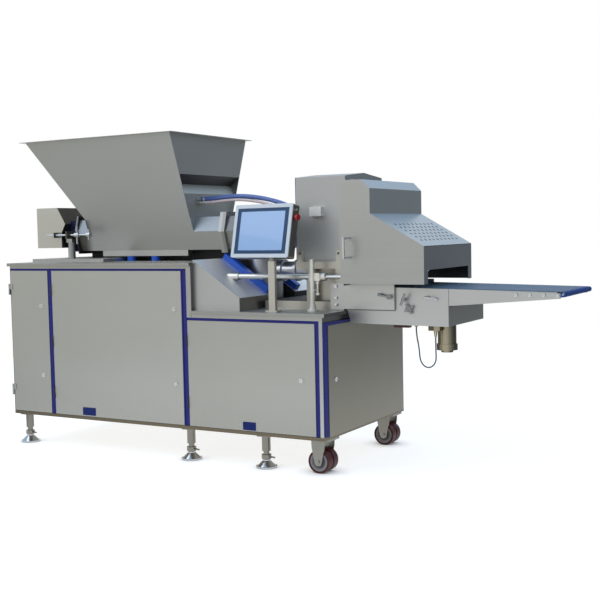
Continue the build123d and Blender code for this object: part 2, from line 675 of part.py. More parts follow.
trough += both(prism_x(gusset, MOUTH_END, MOUTH_END + SHEET))
channel_r = AUGER_R + AUGER_GAP
ridge_z = AUGER_Z - channel_r / 2
floor_x = (TROUGH_X + END_PLATE / 2, TROUGH_END)
saddle = prism_x([(MID - half_at(TROUGH_Z) + lean_t, TROUGH_Z), (MID - half_at(ridge_z) + lean_t, ridge_z),
                  (MID + half_at(ridge_z) - lean_t, ridge_z), (MID + half_at(TROUGH_Z) - lean_t, TROUGH_Z)],
                 *floor_x)
auger_y = (MID - AUGER_SPACING / 2, MID + AUGER_SPACING / 2)
for y in auger_y:
    saddle -= rod((floor_x[0] - 1, y, AUGER_Z), (floor_x[1] + 1, y, AUGER_Z), channel_r)
trough.append(saddle)
flange_half = [(MID - 165, TROUGH_Z - 17), (MID - 200, VERTEX_Z - 4), (MID - 170, ROOF_Z + 24)]
flange_points = flange_half + [(CAB_W - y, z) for y, z in reversed(flange_half)]
bore_half = [(MID - half_at(TROUGH_Z) + lean_t, TROUGH_Z + SHEET),
             (MID - vertex_half + lean_t, VERTEX_Z), (MID - ROOF_HALF + lean_t, ROOF_Z - roof_t)]
bore_points = bore_half + [(CAB_W - y, z) for y, z in reversed(bore_half)]
flange = prism_x(flange_points, TROUGH_END, TROUGH_END + FLANGE)
flange -= prism_x(bore_points, TROUGH_END - 1, TROUGH_END + FLANGE + 1)
trough.append(flange)
plate_x = (TROUGH_X - END_PLATE / 2, TROUGH_X + END_PLATE / 2)
gear_r = AUGER_SPACING / 2
gear_x = (plate_x[0] - GEAR_W - 8, plate_x[0] - 8)
hood_profile = [(HOOD_X, HOOD_Z), (HOOD_X, HOOD_TOP), (HOOD_END - 29, HOOD_TOP),
                (HOOD_END + 31, HOOD_TOP - 98), (HOOD_END, HOOD_TOP - 152), (HOOD_END, HOOD_Z)]
hood_solid = prism_y(hood_profile, HOOD_Y, CAB_W - HOOD_Y)
end_plate = prism_x(flange_points, *plate_x)
end_plate += block(plate_x, (CLAMP_Y - 22, MID - 170), (CLAMP_Z - 22, CLAMP_Z + 22))
end_plate -= rod((plate_x[0] - 1, CLAMP_Y, CLAMP_Z), (plate_x[1] + 1, CLAMP_Y, CLAMP_Z), CLAMP_R + PLAY)
case_half = AUGER_SPACING / 2 + gear_r + 12
case_z = (TROUGH_Z - 3, ROOF_Z - 4)
bearing = block((HOOD_END, plate_x[0]), (MID - case_half, MID + case_half), case_z) - hood_solid
bearing -= block((gear_x[0] - 3, gear_x[1] + 3), (MID - case_half + 3, MID + case_half - 3),
                 (case_z[0] + 2.5, case_z[1] - 3))
for y in auger_y:
    hole = rod((HOOD_END - 1, y, AUGER_Z), (plate_x[1] + 1, y, AUGER_Z), AUGER_SHAFT_R + PLAY)
    end_plate -= hole
    bearing -= hole
trough += [end_plate, bearing]
save("auger_trough", *trough)

# Augers: shaft, flight as a twisted sector and drive gear, one right-handed and one left-handed
flight_x = (TROUGH_X + 26, TROUGH_END - 18)
shaft_start = HOOD_END - 104


def gear(x, y, phase):
    """Spur gear with straight-flanked teeth."""
    points = []
    pitch = 360 / GEAR_TEETH
    for tooth in range(GEAR_TEETH):
        for radius, offset in ((gear_r - 9, -5), (gear_r + 7, -1.9), (gear_r + 7, 1.9), (gear_r - 9, 5)):
            angle = math.radians(tooth * pitch + phase + offset)
            points.append((y + radius * math.cos(angle), AUGER_Z + radius * math.sin(angle)))
    wheel = prism_x(points, *x)
    return wheel - rod((x[0] - 1, y, AUGER_Z), (x[1] + 1, y, AUGER_Z), AUGER_SHAFT_R)


def auger(y, hand, phase, start):
    """Screw along X with its gear."""
    run = flight_x[1] - flight_x[0]
    sweep_angle = 360 * FLIGHT_T / AUGER_PITCH
    edge = [Vector(0, 0, 0)]
    for step in range(5):
        angle = math.radians(sweep_angle * (step / 4 - 0.5))
        edge.append(Vector(AUGER_R * math.cos(angle), AUGER_R * math.sin(angle), 0))
    sector = Face(Wire.make_polygon(edge, close=True))
    turn = hand * 360 * run / AUGER_PITCH
    flight = Solid.extrude_linear_with_rotation(sector, (0, 0, 0), (0, 0, run), turn)
    flight = Pos(flight_x[0], y, AUGER_Z) * Rot(0, 90, 0) * flight
    shaft = rod((start, y, AUGER_Z), (flight_x[1] + 8, y, AUGER_Z), AUGER_SHAFT_R)
    return [shaft + flight, gear(gear_x, y, phase)]


save("auger_front", *auger(auger_y[0], 1, 0, HOOD_END + 6))
save("auger_back", *auger(auger_y[1], -1, 180 / GEAR_TEETH, shaft_start))

# Drive hood over the gears and the auger gearmotor
room_profile = [(HOOD_X + PANEL, HOOD_Z + PANEL), (HOOD_X + PANEL, HOOD_TOP - PANEL),
                (HOOD_END - 31, HOOD_TOP - PANEL), (HOOD_END + 28, HOOD_TOP - 98),
                (HOOD_END - PANEL, HOOD_TOP - 151), (HOOD_END - PANEL, HOOD_Z + PANEL)]
hood = hood_solid - prism_y(room_profile, HOOD_Y + PANEL, CAB_W - HOOD_Y - PANEL)
hood -= rod((HOOD_END - 5, auger_y[1], AUGER_Z), (HOOD_END + 1, auger_y[1], AUGER_Z), AUGER_SHAFT_R + 2)
eye = block((HOOD_END - 36, HOOD_END - 28), (CLAMP_Y - 16, HOOD_Y), (CLAMP_Z - 16, CLAMP_Z + 16))
eye -= rod((HOOD_END - 40, CLAMP_Y, CLAMP_Z), (HOOD_END - 20, CLAMP_Y, CLAMP_Z), CLAMP_R + PLAY)
save("drive_hood", hood, eye)
gearbox = block((HOOD_X + PANEL, shaft_start + 22), (auger_y[1] - 50, auger_y[1] + 60),
                (AUGER_Z - 60, AUGER_Z + 60))
gearbox -= rod((shaft_start - 2, auger_y[1], AUGER_Z), (shaft_start + 23, auger_y[1], AUGER_Z),
               AUGER_SHAFT_R + PLAY)
motor = rod((HOOD_X + 52, HOOD_Y + PANEL, AUGER_Z), (HOOD_X + 52, auger_y[1] - 50, AUGER_Z), 48)
save("auger_gearmotor", gearbox, motor)

# Clamp rod with T-bar and wing knob
tee_x = TROUGH_X + 66
knob_x = TROUGH_X + 158
clamp = rod((HOOD_END - 94, CLAMP_Y, CLAMP_Z), (knob_x, CLAMP_Y, CLAMP_Z), CLAMP_R)
clamp += rod((tee_x, CLAMP_Y, CLAMP_Z - 54), (tee_x, CLAMP_Y, CLAMP_Z + 54), CLAMP_R)
clamp += rod((tee_x - 16, CLAMP_Y, CLAMP_Z), (tee_x + 16, CLAMP_Y, CLAMP_Z), CLAMP_R + 7)
clamp += rod((knob_x - 12, CLAMP_Y, CLAMP_Z), (knob_x + 12, CLAMP_Y, CLAMP_Z), CLAMP_R + 8)
clamp += rod((knob_x, CLAMP_Y, CLAMP_Z - 32), (knob_x, CLAMP_Y, CLAMP_Z + 32), CLAMP_R + 1)
save("clamp_rod", clamp)

# Hopper base: raised plate, round posts with lugs, middle beam, rails on blue pads
base_x = (434, TALL_L - 251)
base_rail_y = (MID - 151, MID - 111)
rail_low = TROUGH_Z - 33
lug_z = (HOOD_Z + 32, HOOD_Z + 54)
base_top = TALL_Z + BASE_PLATE_T
base = [block((40, BASE_PLATE_END), (MID - 335, MID + 335), (TALL_Z, base_top))]
middle_beam = block((plate_x[1] + 1, TROUGH_END - 2), (MID - 60, MID + 60), (TALL_Z, TROUGH_Z))
base.append(middle_beam - block((0, BASE_PLATE_END), (0, CAB_W), (TALL_Z - 1, base_top)))
lug_x = TROUGH_X - 34
lug_y = MID - case_half - 23
base += both(block(base_x, base_rail_y, (rail_low, TROUGH_Z)),
             rod((lug_x, lug_y, base_top), (lug_x, lug_y, lug_z[0]), 22),
             block((lug_x - 22, lug_x + 22), (lug_y - 22, MID - case_half), lug_z))
save("hopper_base", *base)
slope = (COVER_HIGH - COVER_LOW) / (COVER_END - TALL_L)
rail_side = (BLUE_RAIL_T * math.sin(math.atan(slope)), BLUE_RAIL_T * math.cos(math.atan(slope)))
rail_foot = (COVER_END - 12, COVER_LOW + 12 * slope)
rail_points = [(TALL_L, COVER_HIGH), rail_foot, (rail_foot[0] + rail_side[0], rail_foot[1] + rail_side[1]),
               (TALL_L + rail_side[0], COVER_HIGH + rail_side[1])]
rail_y = (COVER_IN - 16 - BLUE_RAIL, COVER_IN - 16)
blue = both(prism_y(rail_points, *rail_y))
for x in PAD_X:
    pad_y = (base_rail_y[0] + base_rail_y[1]) / 2
    blue += both(rod((x, pad_y, TALL_Z), (x, pad_y, rail_low), PAD_R))
save("blue_supports", *blue)

# Inlet housing on the trough flange, with a round outlet down to the pump
housing = prism_x(flange_points, TROUGH_END + FLANGE, TROUGH_END + 2 * FLANGE)
hull_half = [(MID - TROUGH_HALF, TROUGH_Z), (MID - vertex_half, VERTEX_Z), (MID - ROOF_HALF, ROOF_Z)]
hull_points = hull_half + [(CAB_W - y, z) for y, z in reversed(hull_half)]
housing += prism_x(hull_points, TROUGH_END + FLANGE, INLET_END)
housing -= prism_x(bore_points, TROUGH_END, INLET_END - SHEET)
housing -= rod((PUMP_X, MID, TROUGH_Z - 1), (PUMP_X, MID, TROUGH_Z + 20), PUMP_NECK_R)
save("inlet_housing", housing)

# Pump on the low deck, its rotor and the gearmotor under the deck
pump = rod((PUMP_X, MID, LOW_Z + PUMP_BASE), (PUMP_X, MID, TROUGH_Z), PUMP_R)
pump += rod((PUMP_X, MID, LOW_Z), (PUMP_X, MID, LOW_Z + PUMP_BASE), PUMP_FLANGE_R)
pump += rod((PUMP_X, MID, OUTLET_Z), (FILLER_X, MID, OUTLET_Z), OUTLET_R)
for x in (PUMP_X + PUMP_R + 14, PLINTH_X + 60, HEAD_X - 50):
    pump += rod((x, MID, OUTLET_Z), (x + 16, MID, OUTLET_Z), OUTLET_R + OUTLET_RING)
pump -= rod((PUMP_X, MID, LOW_Z + 42), (PUMP_X, MID, TROUGH_Z - 20), PUMP_BORE_R)
pump -= rod((PUMP_X, MID, TROUGH_Z - 21), (PUMP_X, MID, TROUGH_Z + 1), PUMP_NECK_R)
pump -= rod((PUMP_X, MID, OUTLET_Z), (FILLER_X + 1, MID, OUTLET_Z), OUTLET_BORE_R)
pump -= rod((PUMP_X, MID, LOW_Z - 1), (PUMP_X, MID, LOW_Z + 43), PUMP_SHAFT_R + PLAY)
save("pump_body", pump)
rotor_z = (LOW_Z + 46, OUTLET_Z + OUTLET_BORE_R - 6)
rotor = rod((PUMP_X, MID, low_top - 70), (PUMP_X, MID, rotor_z[1]), PUMP_SHAFT_R)
rotor += rod((PUMP_X, MID, rotor_z[0]), (PUMP_X, MID, rotor_z[1]), 30)
vane = PUMP_BORE_R - 4
rotor += block((PUMP_X - vane, PUMP_X + vane), (MID - 6, MID + 6), rotor_z)
rotor += block((PUMP_X - 6, PUMP_X + 6), (MID - vane, MID + vane), rotor_z)
save("pump_rotor", rotor)
drive_box = block((PUMP_X - 80, PUMP_X + 80), (MID - 80, MID + 80), (low_top - 130, low_top))
drive_box -= rod((PUMP_X, MID, low_top - 72), (PUMP_X, MID, low_top + 1), PUMP_SHAFT_R + PLAY)
save("pump_gearmotor", drive_box,
     rod((PUMP_X, MID, low_top - 400), (PUMP_X, MID, low_top - 130), 76))

# Sloped covers beside the pump
cover_profile = [(TALL_L, LOW_Z), (COVER_END, LOW_Z), (COVER_END, COVER_LOW), (TALL_L, COVER_HIGH)]
cover_room = [(TALL_L - 1, LOW_Z - 1), (COVER_END - COVER_T, LOW_Z - 1),
              (COVER_END - COVER_T, COVER_LOW - 3 + slope * COVER_T), (TALL_L - 1, COVER_HIGH - 3 + slope)]
cover_solid = prism_y(cover_profile, COVER_Y, COVER_IN)
cover = cover_solid - prism_y(cover_room, COVER_Y + COVER_T, COVER_IN - COVER_T)
save("sloped_covers", *both(cover))

# Push rods with the filler plate, and the tubes and posts that guide them
tube_start = COVER_END - 169
tube_end = ROD_POST_X + 42
guide = rod((tube_start, ROD_Y, ROD_Z), (tube_end, ROD_Y, ROD_Z), ROD_TUBE_R)
guide += rod((tube_start, ROD_Y, ROD_Z), (tube_start + 69, ROD_Y, ROD_Z), ROD_TUBE_R + 5)
guide -= cover_solid
guide += rod((tube_end, ROD_Y, ROD_Z), (tube_end + 24, ROD_Y, ROD_Z), ROD_TUBE_R + 6)
guide -= rod((PLINTH_X + 33, ROD_Y, ROD_Z), (tube_end + 25, ROD_Y, ROD_Z), ROD_R + PLAY)
rod_post_y = ROD_Y - ROD_TUBE_R - ROD_POST_R - 2
post = rod((ROD_POST_X, rod_post_y, LOW_Z + 8), (ROD_POST_X, rod_post_y, ROD_POST_TOP), ROD_POST_R)
post += rod((ROD_POST_X, rod_post_y, LOW_Z), (ROD_POST_X, rod_post_y, LOW_Z + 8), 30)
post += rod((ROD_POST_X, rod_post_y, LOW_Z + 8), (ROD_POST_X, rod_post_y, LOW_Z + 30), ROD_POST_R + 6)
clamp_block = block((ROD_POST_X - 19, tube_end), (rod_post_y, ROD_Y + 21), (ROD_Z - 20, ROD_Z + 20))
clamp_block -= rod((ROD_POST_X, rod_post_y, LOW_Z), (ROD_POST_X, rod_post_y, ROD_POST_TOP), ROD_POST_R)
clamp_block -= rod((ROD_POST_X - 20, ROD_Y, ROD_Z), (tube_end + 1, ROD_Y, ROD_Z), ROD_TUBE_R)
bolt_x = ROD_POST_X + 29
clamp_bolt = rod((bolt_x, rod_post_y + 6, ROD_Z - 95), (bolt_x, rod_post_y + 6, ROD_Z - 20), 5)
for z in (ROD_Z - 92, ROD_Z - 34):
    clamp_bolt += rod((bolt_x, rod_post_y + 6, z), (bolt_x, rod_post_y + 6, z + 10), 10)
clamp_bolt += rod((bolt_x - 8, rod_post_y - 24, ROD_Z - 66), (bolt_x, rod_post_y + 6, ROD_Z - 66), 4)
save("push_rod_tubes", *both(guide, post, clamp_block, clamp_bolt))
shoe_x = (GUARD_X - 6, DRUM_X - DRUM_R - 1.5)
arm_x = (shoe_x[0], shoe_x[0] + 22)
shoe_half = DRUM_HALF
push = rod((PLINTH_X + 73, ROD_Y, ROD_Z), (arm_x[1], ROD_Y, ROD_Z), ROD_R)
push += block(arm_x, (ROD_Y - 14, MID - shoe_half + 38), (ROD_Z - 14, ROD_Z + 14))
push += block(arm_x, (MID - shoe_half, MID - shoe_half + 38), (ROD_Z, ROD_Z + 40))
shoe = block(shoe_x, (MID - shoe_half, MID + shoe_half), (DRUM_Z - 95, DRUM_Z + 95))
across = DRUM_HALF * 2 / POCKETS_ACROSS
for place in range(POCKETS_ACROSS):
    y = MID + (place + 0.5 - POCKETS_ACROSS / 2) * across
    shoe -= block((shoe_x[0] - 1, shoe_x[1] + 1), (y - 36, y + 36), (DRUM_Z - 32, DRUM_Z + 32))
save("push_rods", shoe + push + other_side(push))

# Head frame with the filler block, and the tall cover over it
side_y = (HEAD_Y, HEAD_Y + BEAM)
plinth = block((PLINTH_X, CAB_L), (HEAD_Y, CAB_W - HEAD_Y), (LOW_Z, PLINTH_TOP))
plinth -= block((PLINTH_X + 4, CAB_L - 4), (HEAD_Y + 4, CAB_W - HEAD_Y - 4), (LOW_Z - 1, PLINTH_TOP - 4))
head = [plinth]
beam_x = (HEAD_X + 11, HEAD_END - 11)
upright_x = (HEAD_X + 73, HEAD_X + 73 + UPRIGHT)
head += both(block(upright_x, side_y, (PLINTH_TOP, BEAM_Z)),
             block((beam_x[1] - UPRIGHT, beam_x[1]), side_y, (PLINTH_TOP, BEAM_Z)),
             block(beam_x, side_y, (BEAM_Z, HEAD_Z)))
for x in (beam_x[0] + 24, beam_x[1] - 22):
    lug = block((x - 14, x + 14), (HEAD_Y, HEAD_COVER_Y - 2), (HEAD_Z, HEAD_Z + 46))
    lug += rod((x, HEAD_Y, HEAD_Z + 46), (x, HEAD_COVER_Y - 2, HEAD_Z + 46), 14)
    lug -= rod((x, HEAD_Y - 1, HEAD_Z + 42), (x, HEAD_COVER_Y, HEAD_Z + 42), 6)
    head += both(lug)
filler = block((FILLER_X, HEAD_END - 1), (MID - 190, MID + 190), (PLINTH_TOP, DRUM_Z + 70))
filler -= rod((FILLER_X - 1, MID, OUTLET_Z), (FILLER_X + 120, MID, OUTLET_Z), OUTLET_BORE_R)
filler -= block((FILLER_X + 60, FILLER_X + 120), (MID - 40, MID + 40), (OUTLET_Z, DRUM_Z + 32))
filler -= block((FILLER_X + 60, HEAD_END), (MID - 175, MID + 175), (DRUM_Z - 32, DRUM_Z + 32))
filler -= block((FILLER_X + 130, HEAD_END - 20), (MID - 175, MID + 175), (PLINTH_TOP - 1, DRUM_Z - 52))
head.append(filler)
save("head_frame", *head)


def gable(inset, x0, x1, low):
    """Gabled box of the head cover, made smaller on every side by the inset."""
    y0 = HEAD_COVER_Y + inset
    y1 = CAB_W - y0
    points = [(y0, low), (y0, EAVES - inset), (MID, RIDGE - inset), (y1, EAVES - inset), (y1, low)]
    return prism_x(points, x0 + inset, x1 - inset)


tower = gable(0, HEAD_X, HEAD_END, HEAD_Z) - gable(PANEL, HEAD_X, HEAD_END, HEAD_Z - 1)
tower -= block((HEAD_END - 3, HEAD_END + 1), (MID - 195, MID + 195), (HEAD_Z - 1, DRUM_Z + 75))
junction = block((HEAD_X + 96, HEAD_X + 164), (HEAD_COVER_Y - 24, HEAD_COVER_Y), (EAVES - 204, EAVES - 156))
hinge_x = HEAD_END + 10
hinge_z = GUARD_TOP + 4
tower_hinges = []
hinge_places = (MID - 185, MID + 185 - GUARD_KNUCKLE_W)
for y in hinge_places:
    edge = y + GUARD_KNUCKLE_W
    half = rod((hinge_x, y, hinge_z), (hinge_x, edge, hinge_z), GUARD_KNUCKLE_R)
    half += block((HEAD_END, hinge_x), (y, edge), (hinge_z - 8, hinge_z + 8))
    half += rod((hinge_x, edge - 1, hinge_z), (hinge_x, edge + GUARD_KNUCKLE_W - 2, hinge_z), GUARD_PIN_R)
    tower_hinges.append(half)
hose_ends = {"air_hose_upper": (MID - 85, EAVES - 161, HOSE_R),
             "air_hose_lower": (MID - 47, EAVES - 165, HOSE_R),
             "water_hose": (MID - 97, EAVES - 184, WATER_R)}
ends = []
for y, z, radius in hose_ends.values():
    ends.append(rod((HEAD_X - HOSE_NUT, y, z), (HEAD_X, y, z), radius + NUT_WALL))
save("head_cover", tower, junction, *tower_hinges, *ends)

# Guard over the drum: plates, perforated slope, bow handles and hinge halves
G = PANEL
lower_side = [(GUARD_X, GUARD_Z), (GUARD_NOSE, GUARD_Z), (GUARD_NOSE, GUARD_NOSE_Z),
              (GUARD_STEP_X, GUARD_STEP_Z), (GUARD_X, GUARD_STEP_Z)]
upper_side = [(GUARD_X, GUARD_STEP_Z), (GUARD_STEP_X, GUARD_STEP_Z), (GUARD_STEP_X, GUARD_TOP - GUARD_CUT),
              (GUARD_STEP_X - GUARD_CUT, GUARD_TOP), (GUARD_X, GUARD_TOP)]
guard = both(prism_y(lower_side, GUARD_Y, GUARD_Y + G), prism_y(upper_side, GUARD_Y, GUARD_Y + G))
between = (GUARD_Y + G, CAB_W - GUARD_Y - G)
nose_x = (GUARD_NOSE - G, GUARD_NOSE)
guard.append(block(nose_x, between, (OUTFEED_Z, GUARD_NOSE_Z)))
guard += both(block(nose_x, (between[0], GUARD_Y + OUTFEED_JAMB), (GUARD_Z, OUTFEED_Z)))
guard.append(block((GUARD_STEP_X - G, GUARD_STEP_X), between, (GUARD_STEP_Z, GUARD_TOP - GUARD_CUT)))
guard.append(prism_y([(GUARD_STEP_X, GUARD_TOP - GUARD_CUT), (GUARD_STEP_X - GUARD_CUT, GUARD_TOP),
                      (GUARD_STEP_X - GUARD_CUT, GUARD_TOP - 1.4 * G),
                      (GUARD_STEP_X - 1.4 * G, GUARD_TOP - GUARD_CUT)], *between))
top_plate = block((GUARD_X, GUARD_STEP_X - GUARD_CUT), between, (GUARD_TOP - G, GUARD_TOP))
for place in hinge_places:
    y = place + GUARD_KNUCKLE_W + FACE_GAP
    edge = y + GUARD_KNUCKLE_W
    half = rod((hinge_x, y, hinge_z), (hinge_x, edge, hinge_z), GUARD_KNUCKLE_R)
    half += block((hinge_x, GUARD_X + 2), (y, edge), (GUARD_TOP - 3, GUARD_TOP + 3))
    half -= rod((hinge_x, y - 1, hinge_z), (hinge_x, edge - 1, hinge_z), GUARD_PIN_R + PLAY)
    top_plate += half
guard.append(top_plate)
fall = (GUARD_STEP_Z - GUARD_NOSE_Z) / (GUARD_NOSE - GUARD_STEP_X)
slope_angle = math.atan(fall)
drop = G / math.cos(slope_angle)
slope_plate = prism_y([(GUARD_STEP_X, GUARD_STEP_Z), (GUARD_NOSE, GUARD_NOSE_Z),
                       (GUARD_NOSE, GUARD_NOSE_Z - drop), (GUARD_STEP_X, GUARD_STEP_Z - drop)], *between)
slope_mid = ((GUARD_STEP_X + GUARD_NOSE) / 2, MID, (GUARD_STEP_Z + GUARD_NOSE_Z) / 2)
slope_plane = Plane(origin=slope_mid, x_dir=(math.cos(slope_angle), 0, -math.sin(slope_angle)),
                    z_dir=(math.sin(slope_angle), 0, math.cos(slope_angle)))
holes = []
for row in range(HOLE_ROWS):
    for column in range(HOLE_COLUMNS):
        along = (row - (HOLE_ROWS - 1) / 2) * ROW_PITCH + HOLE_DROP
        aside = (column - (HOLE_COLUMNS - 1) / 2) * HOLE_PITCH
        hole = slope_plane * Pos(along, aside) * RegularPolygon(HOLE_R, 8)
        holes.append(extrude(hole, 2 * SHEET, both=True))
guard.append(slope_plate - holes)
bow_x = (BOW_X, BOW_X + BOW)
bow_y = (GUARD_Y - BOW_OUT, GUARD_Y - BOW_OUT + BOW)
guard += both(block(bow_x, bow_y, (BOW_Z, BOW_Z + BOW_H)))
for z in (BOW_Z, BOW_Z + BOW_H - BOW):
    guard += both(block(bow_x, (bow_y[1], GUARD_Y), (z, z + BOW)))
save("drum_guard", *guard)

# Forming drum with round pockets
drum = pipe((DRUM_X, MID - DRUM_HALF, DRUM_Z), (DRUM_X, MID + DRUM_HALF, DRUM_Z),
            DRUM_R, DRUM_R - DRUM_WALL)
drum += rod((DRUM_X, MID - 8, DRUM_Z), (DRUM_X, MID + 8, DRUM_Z), DRUM_R - DRUM_WALL / 2)
pocket_base = DRUM_R - POCKET_D
for turn in range(POCKETS_ROUND):
    angle = math.radians(360 * turn / POCKETS_ROUND)
    out = (math.cos(angle), math.sin(angle))
    for place in range(POCKETS_ACROSS):
        y = MID + (place + 0.5 - POCKETS_ACROSS / 2) * across
        drum -= rod((DRUM_X + pocket_base * out[0], y, DRUM_Z + pocket_base * out[1]),
                    (DRUM_X + (DRUM_R + 20) * out[0], y, DRUM_Z + (DRUM_R + 20) * out[1]), POCKET_R)
arm_y = (HEAD_Y - ARM_T, HEAD_Y)
pedestal_y = (arm_y[0], HEAD_Y + 7)
box_y = CAB_W - arm_y[0]
drum += rod((DRUM_X, pedestal_y[0] - 4, DRUM_Z), (DRUM_X, box_y + 30, DRUM_Z), DRUM_SHAFT_R)
save("forming_drum", drum)

# Conveyor arms with the drum pedestals, and the drum gearmotor
pedestal = prism_y([(DRUM_X - 50, ARM_TOP), (DRUM_X + 50, ARM_TOP), (DRUM_X + 36, DRUM_Z + 34),
                    (DRUM_X + 20, DRUM_Z + 48), (DRUM_X - 20, DRUM_Z + 48), (DRUM_X - 36, DRUM_Z + 34)],
                   *pedestal_y)
pedestal -= rod((DRUM_X, pedestal_y[0] - 1, DRUM_Z), (DRUM_X, pedestal_y[1] + 1, DRUM_Z),
                DRUM_SHAFT_R + PLAY)
side_arm = block((ARM_X, ARM_END), arm_y, (ARM_Z, ARM_TOP))
arms = both(side_arm, pedestal)
for rise in (23, 58, 116):
    z = ARM_Z + rise
    arms += both(rod((ARM_X + 34, arm_y[0] - 7, z), (ARM_X + 34, arm_y[0], z), 9))
arms += both(rod((GUARD_X + 16, GUARD_Y - 5, GUARD_Z - 5.5), (GUARD_X + 16, arm_y[0], GUARD_Z - 5.5), 5))
save("conveyor_arms", *arms)
drum_box = block((DRUM_X - 50, DRUM_X + 50), (box_y, box_y + 56), (DRUM_Z - 50, DRUM_Z + 50))
drum_box -= rod((DRUM_X, box_y - 1, DRUM_Z), (DRUM_X, box_y + 31, DRUM_Z), DRUM_SHAFT_R + PLAY)
save("drum_gearmotor", drum_box,
     rod((DRUM_X, box_y + 29, DRUM_Z + 50), (DRUM_X, box_y + 29, DRUM_Z + 150), 26))

# Conveyor frame
side_in = HEAD_Y + SIDE_T
loops = ((TAIL_X, TAIL_Z, ROLLER_SHAFT_R), (DRIVE_X, DRIVE_Z, ROLLER_SHAFT_R))
side_x = low_end + 2
side = prism_y([(side_x, TAIL_Z + 27), (SIDE_END, TAIL_Z + 18), (SIDE_END, SIDE_Z),
                (side_x + 20, SIDE_Z + 5), (side_x, LOW_Z + 2)], HEAD_Y, side_in)
for x, z, radius in loops:
    side -= rod((x, HEAD_Y - 1, z), (x, side_in + 1, z), radius + PLAY)
plate_end = NOSE_X - NOSE_PLATE
nose_face = HEAD_Y + NOSE_SET
nose_plate = prism_y([(SIDE_END, TAIL_Z + 18), (plate_end, NOSE_Z + 6), (plate_end, NOSE_Z - 19),
                      (SIDE_END, LOW_Z + 32)], nose_face, side_in)
nose_lug = prism_y([(plate_end, NOSE_Z + 6), (NOSE_X + NOSE_R - 2, NOSE_Z + 6),
                    (NOSE_X + NOSE_R - 2, NOSE_Z - 8), (plate_end, NOSE_Z - 10)], nose_face, side_in)
nose_lug -= rod((NOSE_X, HEAD_Y - 1, NOSE_Z), (NOSE_X, side_in + 1, NOSE_Z), NOSE_SHAFT_R + PLAY)
conveyor = both(side, nose_plate + nose_lug)
for x, drop in ((TAIL_X + 85, 12), (TAIL_X + 255, 22), (SIDE_END + 87, 9), (SIDE_END + 407, 5)):
    z = TAIL_Z - drop
    conveyor.append(rod((x, side_in, z), (x, CAB_W - side_in, z), 8))
for index in range(NOSE_BOLTS):
    x = plate_end - 11 - NOSE_BOLT_PITCH * index
    conveyor += both(rod((x, nose_face - 5, NOSE_Z - 3), (x, nose_face, NOSE_Z - 3), 7))
pan_z = SIDE_Z + 5
conveyor.append(block((SIDE_END - SHEET, SIDE_END), (side_in, CAB_W - side_in), (SIDE_Z, SIDE_Z + 97)))
conveyor.append(block((side_x + 30, SIDE_END - SHEET), (side_in, CAB_W - side_in), (pan_z, pan_z + SHEET)))
belt_top = ((TAIL_X, TAIL_Z + TAIL_R + BELT_T), (NOSE_X, NOSE_Z + NOSE_R + BELT_T))
belt_fall = (belt_top[0][1] - belt_top[1][1]) / (belt_top[1][0] - belt_top[0][0])


def under_belt(x):
    """Height just below the belt's top run."""
    return belt_top[0][1] - belt_fall * (x - TAIL_X) - BELT_T - 0.3


bed_x = (TAIL_X + 45, NOSE_X - 30)
conveyor.append(prism_y([(bed_x[0], under_belt(bed_x[0])), (bed_x[1], under_belt(bed_x[1])),
                         (bed_x[1], under_belt(bed_x[1]) - SHEET),
                         (bed_x[0], under_belt(bed_x[0]) - SHEET)],
                        side_in, CAB_W - side_in))
save("conveyor_frame", *conveyor)

# Rollers and the belt round them
belt_y = (side_in + BELT_GAP, CAB_W - side_in - BELT_GAP)
rollers = {"tail": (TAIL_X, TAIL_Z, TAIL_R, ROLLER_SHAFT_R),
           "drive": (DRIVE_X, DRIVE_Z, DRIVE_R, ROLLER_SHAFT_R),
           "nose": (NOSE_X, NOSE_Z, NOSE_R, NOSE_SHAFT_R)}
for name, (x, z, radius, shaft_r) in rollers.items():
    roller = rod((x, belt_y[0] - 3, z), (x, belt_y[1] + 3, z), radius - FACE_GAP)
    roller += rod((x, HEAD_Y + 1, z), (x, CAB_W - HEAD_Y - 1, z), shaft_r)
    save(f"{name}_roller", roller)


def loop(grow, y0, y1):
    """Solid inside a band stretched round the three rollers, in belt order."""
    rounds = [(x, z, radius + grow) for x, z, radius, shaft_r in rollers.values()]
    solid = None
    lines = []
    for index, (x0, z0, r0) in enumerate(rounds):
        x1, z1, r1 = rounds[(index + 1) % 3]
        gap = math.hypot(x1 - x0, z1 - z0)
        angle = math.atan2(z1 - z0, x1 - x0) - math.acos((r0 - r1) / gap)
        lines.append((x0 + r0 * math.cos(angle), z0 + r0 * math.sin(angle)))
        lines.append((x1 + r1 * math.cos(angle), z1 + r1 * math.sin(angle)))
        disc = rod((x0, y0, z0), (x0, y1, z0), r0)
        solid = disc if solid is None else solid + disc
    return solid + prism_y(lines, y0, y1)


belt = loop(BELT_T, *belt_y) - loop(0, belt_y[0] - 1, belt_y[1] + 1)
save("conveyor_belt", belt)

# Belt gearmotor hung under the frame, terminal box with gland
motor_axis = (BELT_MOTOR_X, BELT_MOTOR_Y)
belt_motor = rod((*motor_axis, pan_z - 98), (*motor_axis, pan_z), BELT_MOTOR_R)
belt_motor += rod((*motor_axis, pan_z - 129), (*motor_axis, pan_z - 98), BELT_MOTOR_R + 6)
belt_motor += rod((*motor_axis, pan_z - 141), (*motor_axis, pan_z - 129), BELT_MOTOR_R - 16)
gland = (SIDE_END - 80, CABLE_Y, pan_z - 58)
box_z = (pan_z - 28, pan_z)
terminal = block((SIDE_END - 113, SIDE_END - 53), (CABLE_Y - 14, CABLE_Y + 20), box_z)
terminal += cone((gland[0], gland[1], gland[2]), (gland[0], gland[1], box_z[0]), 6, 10)
gear_case = block((SIDE_END - 93, SIDE_END - SHEET), (BELT_MOTOR_Y - 50, BELT_MOTOR_Y + 50),
                  (pan_z + SHEET, pan_z + 82))
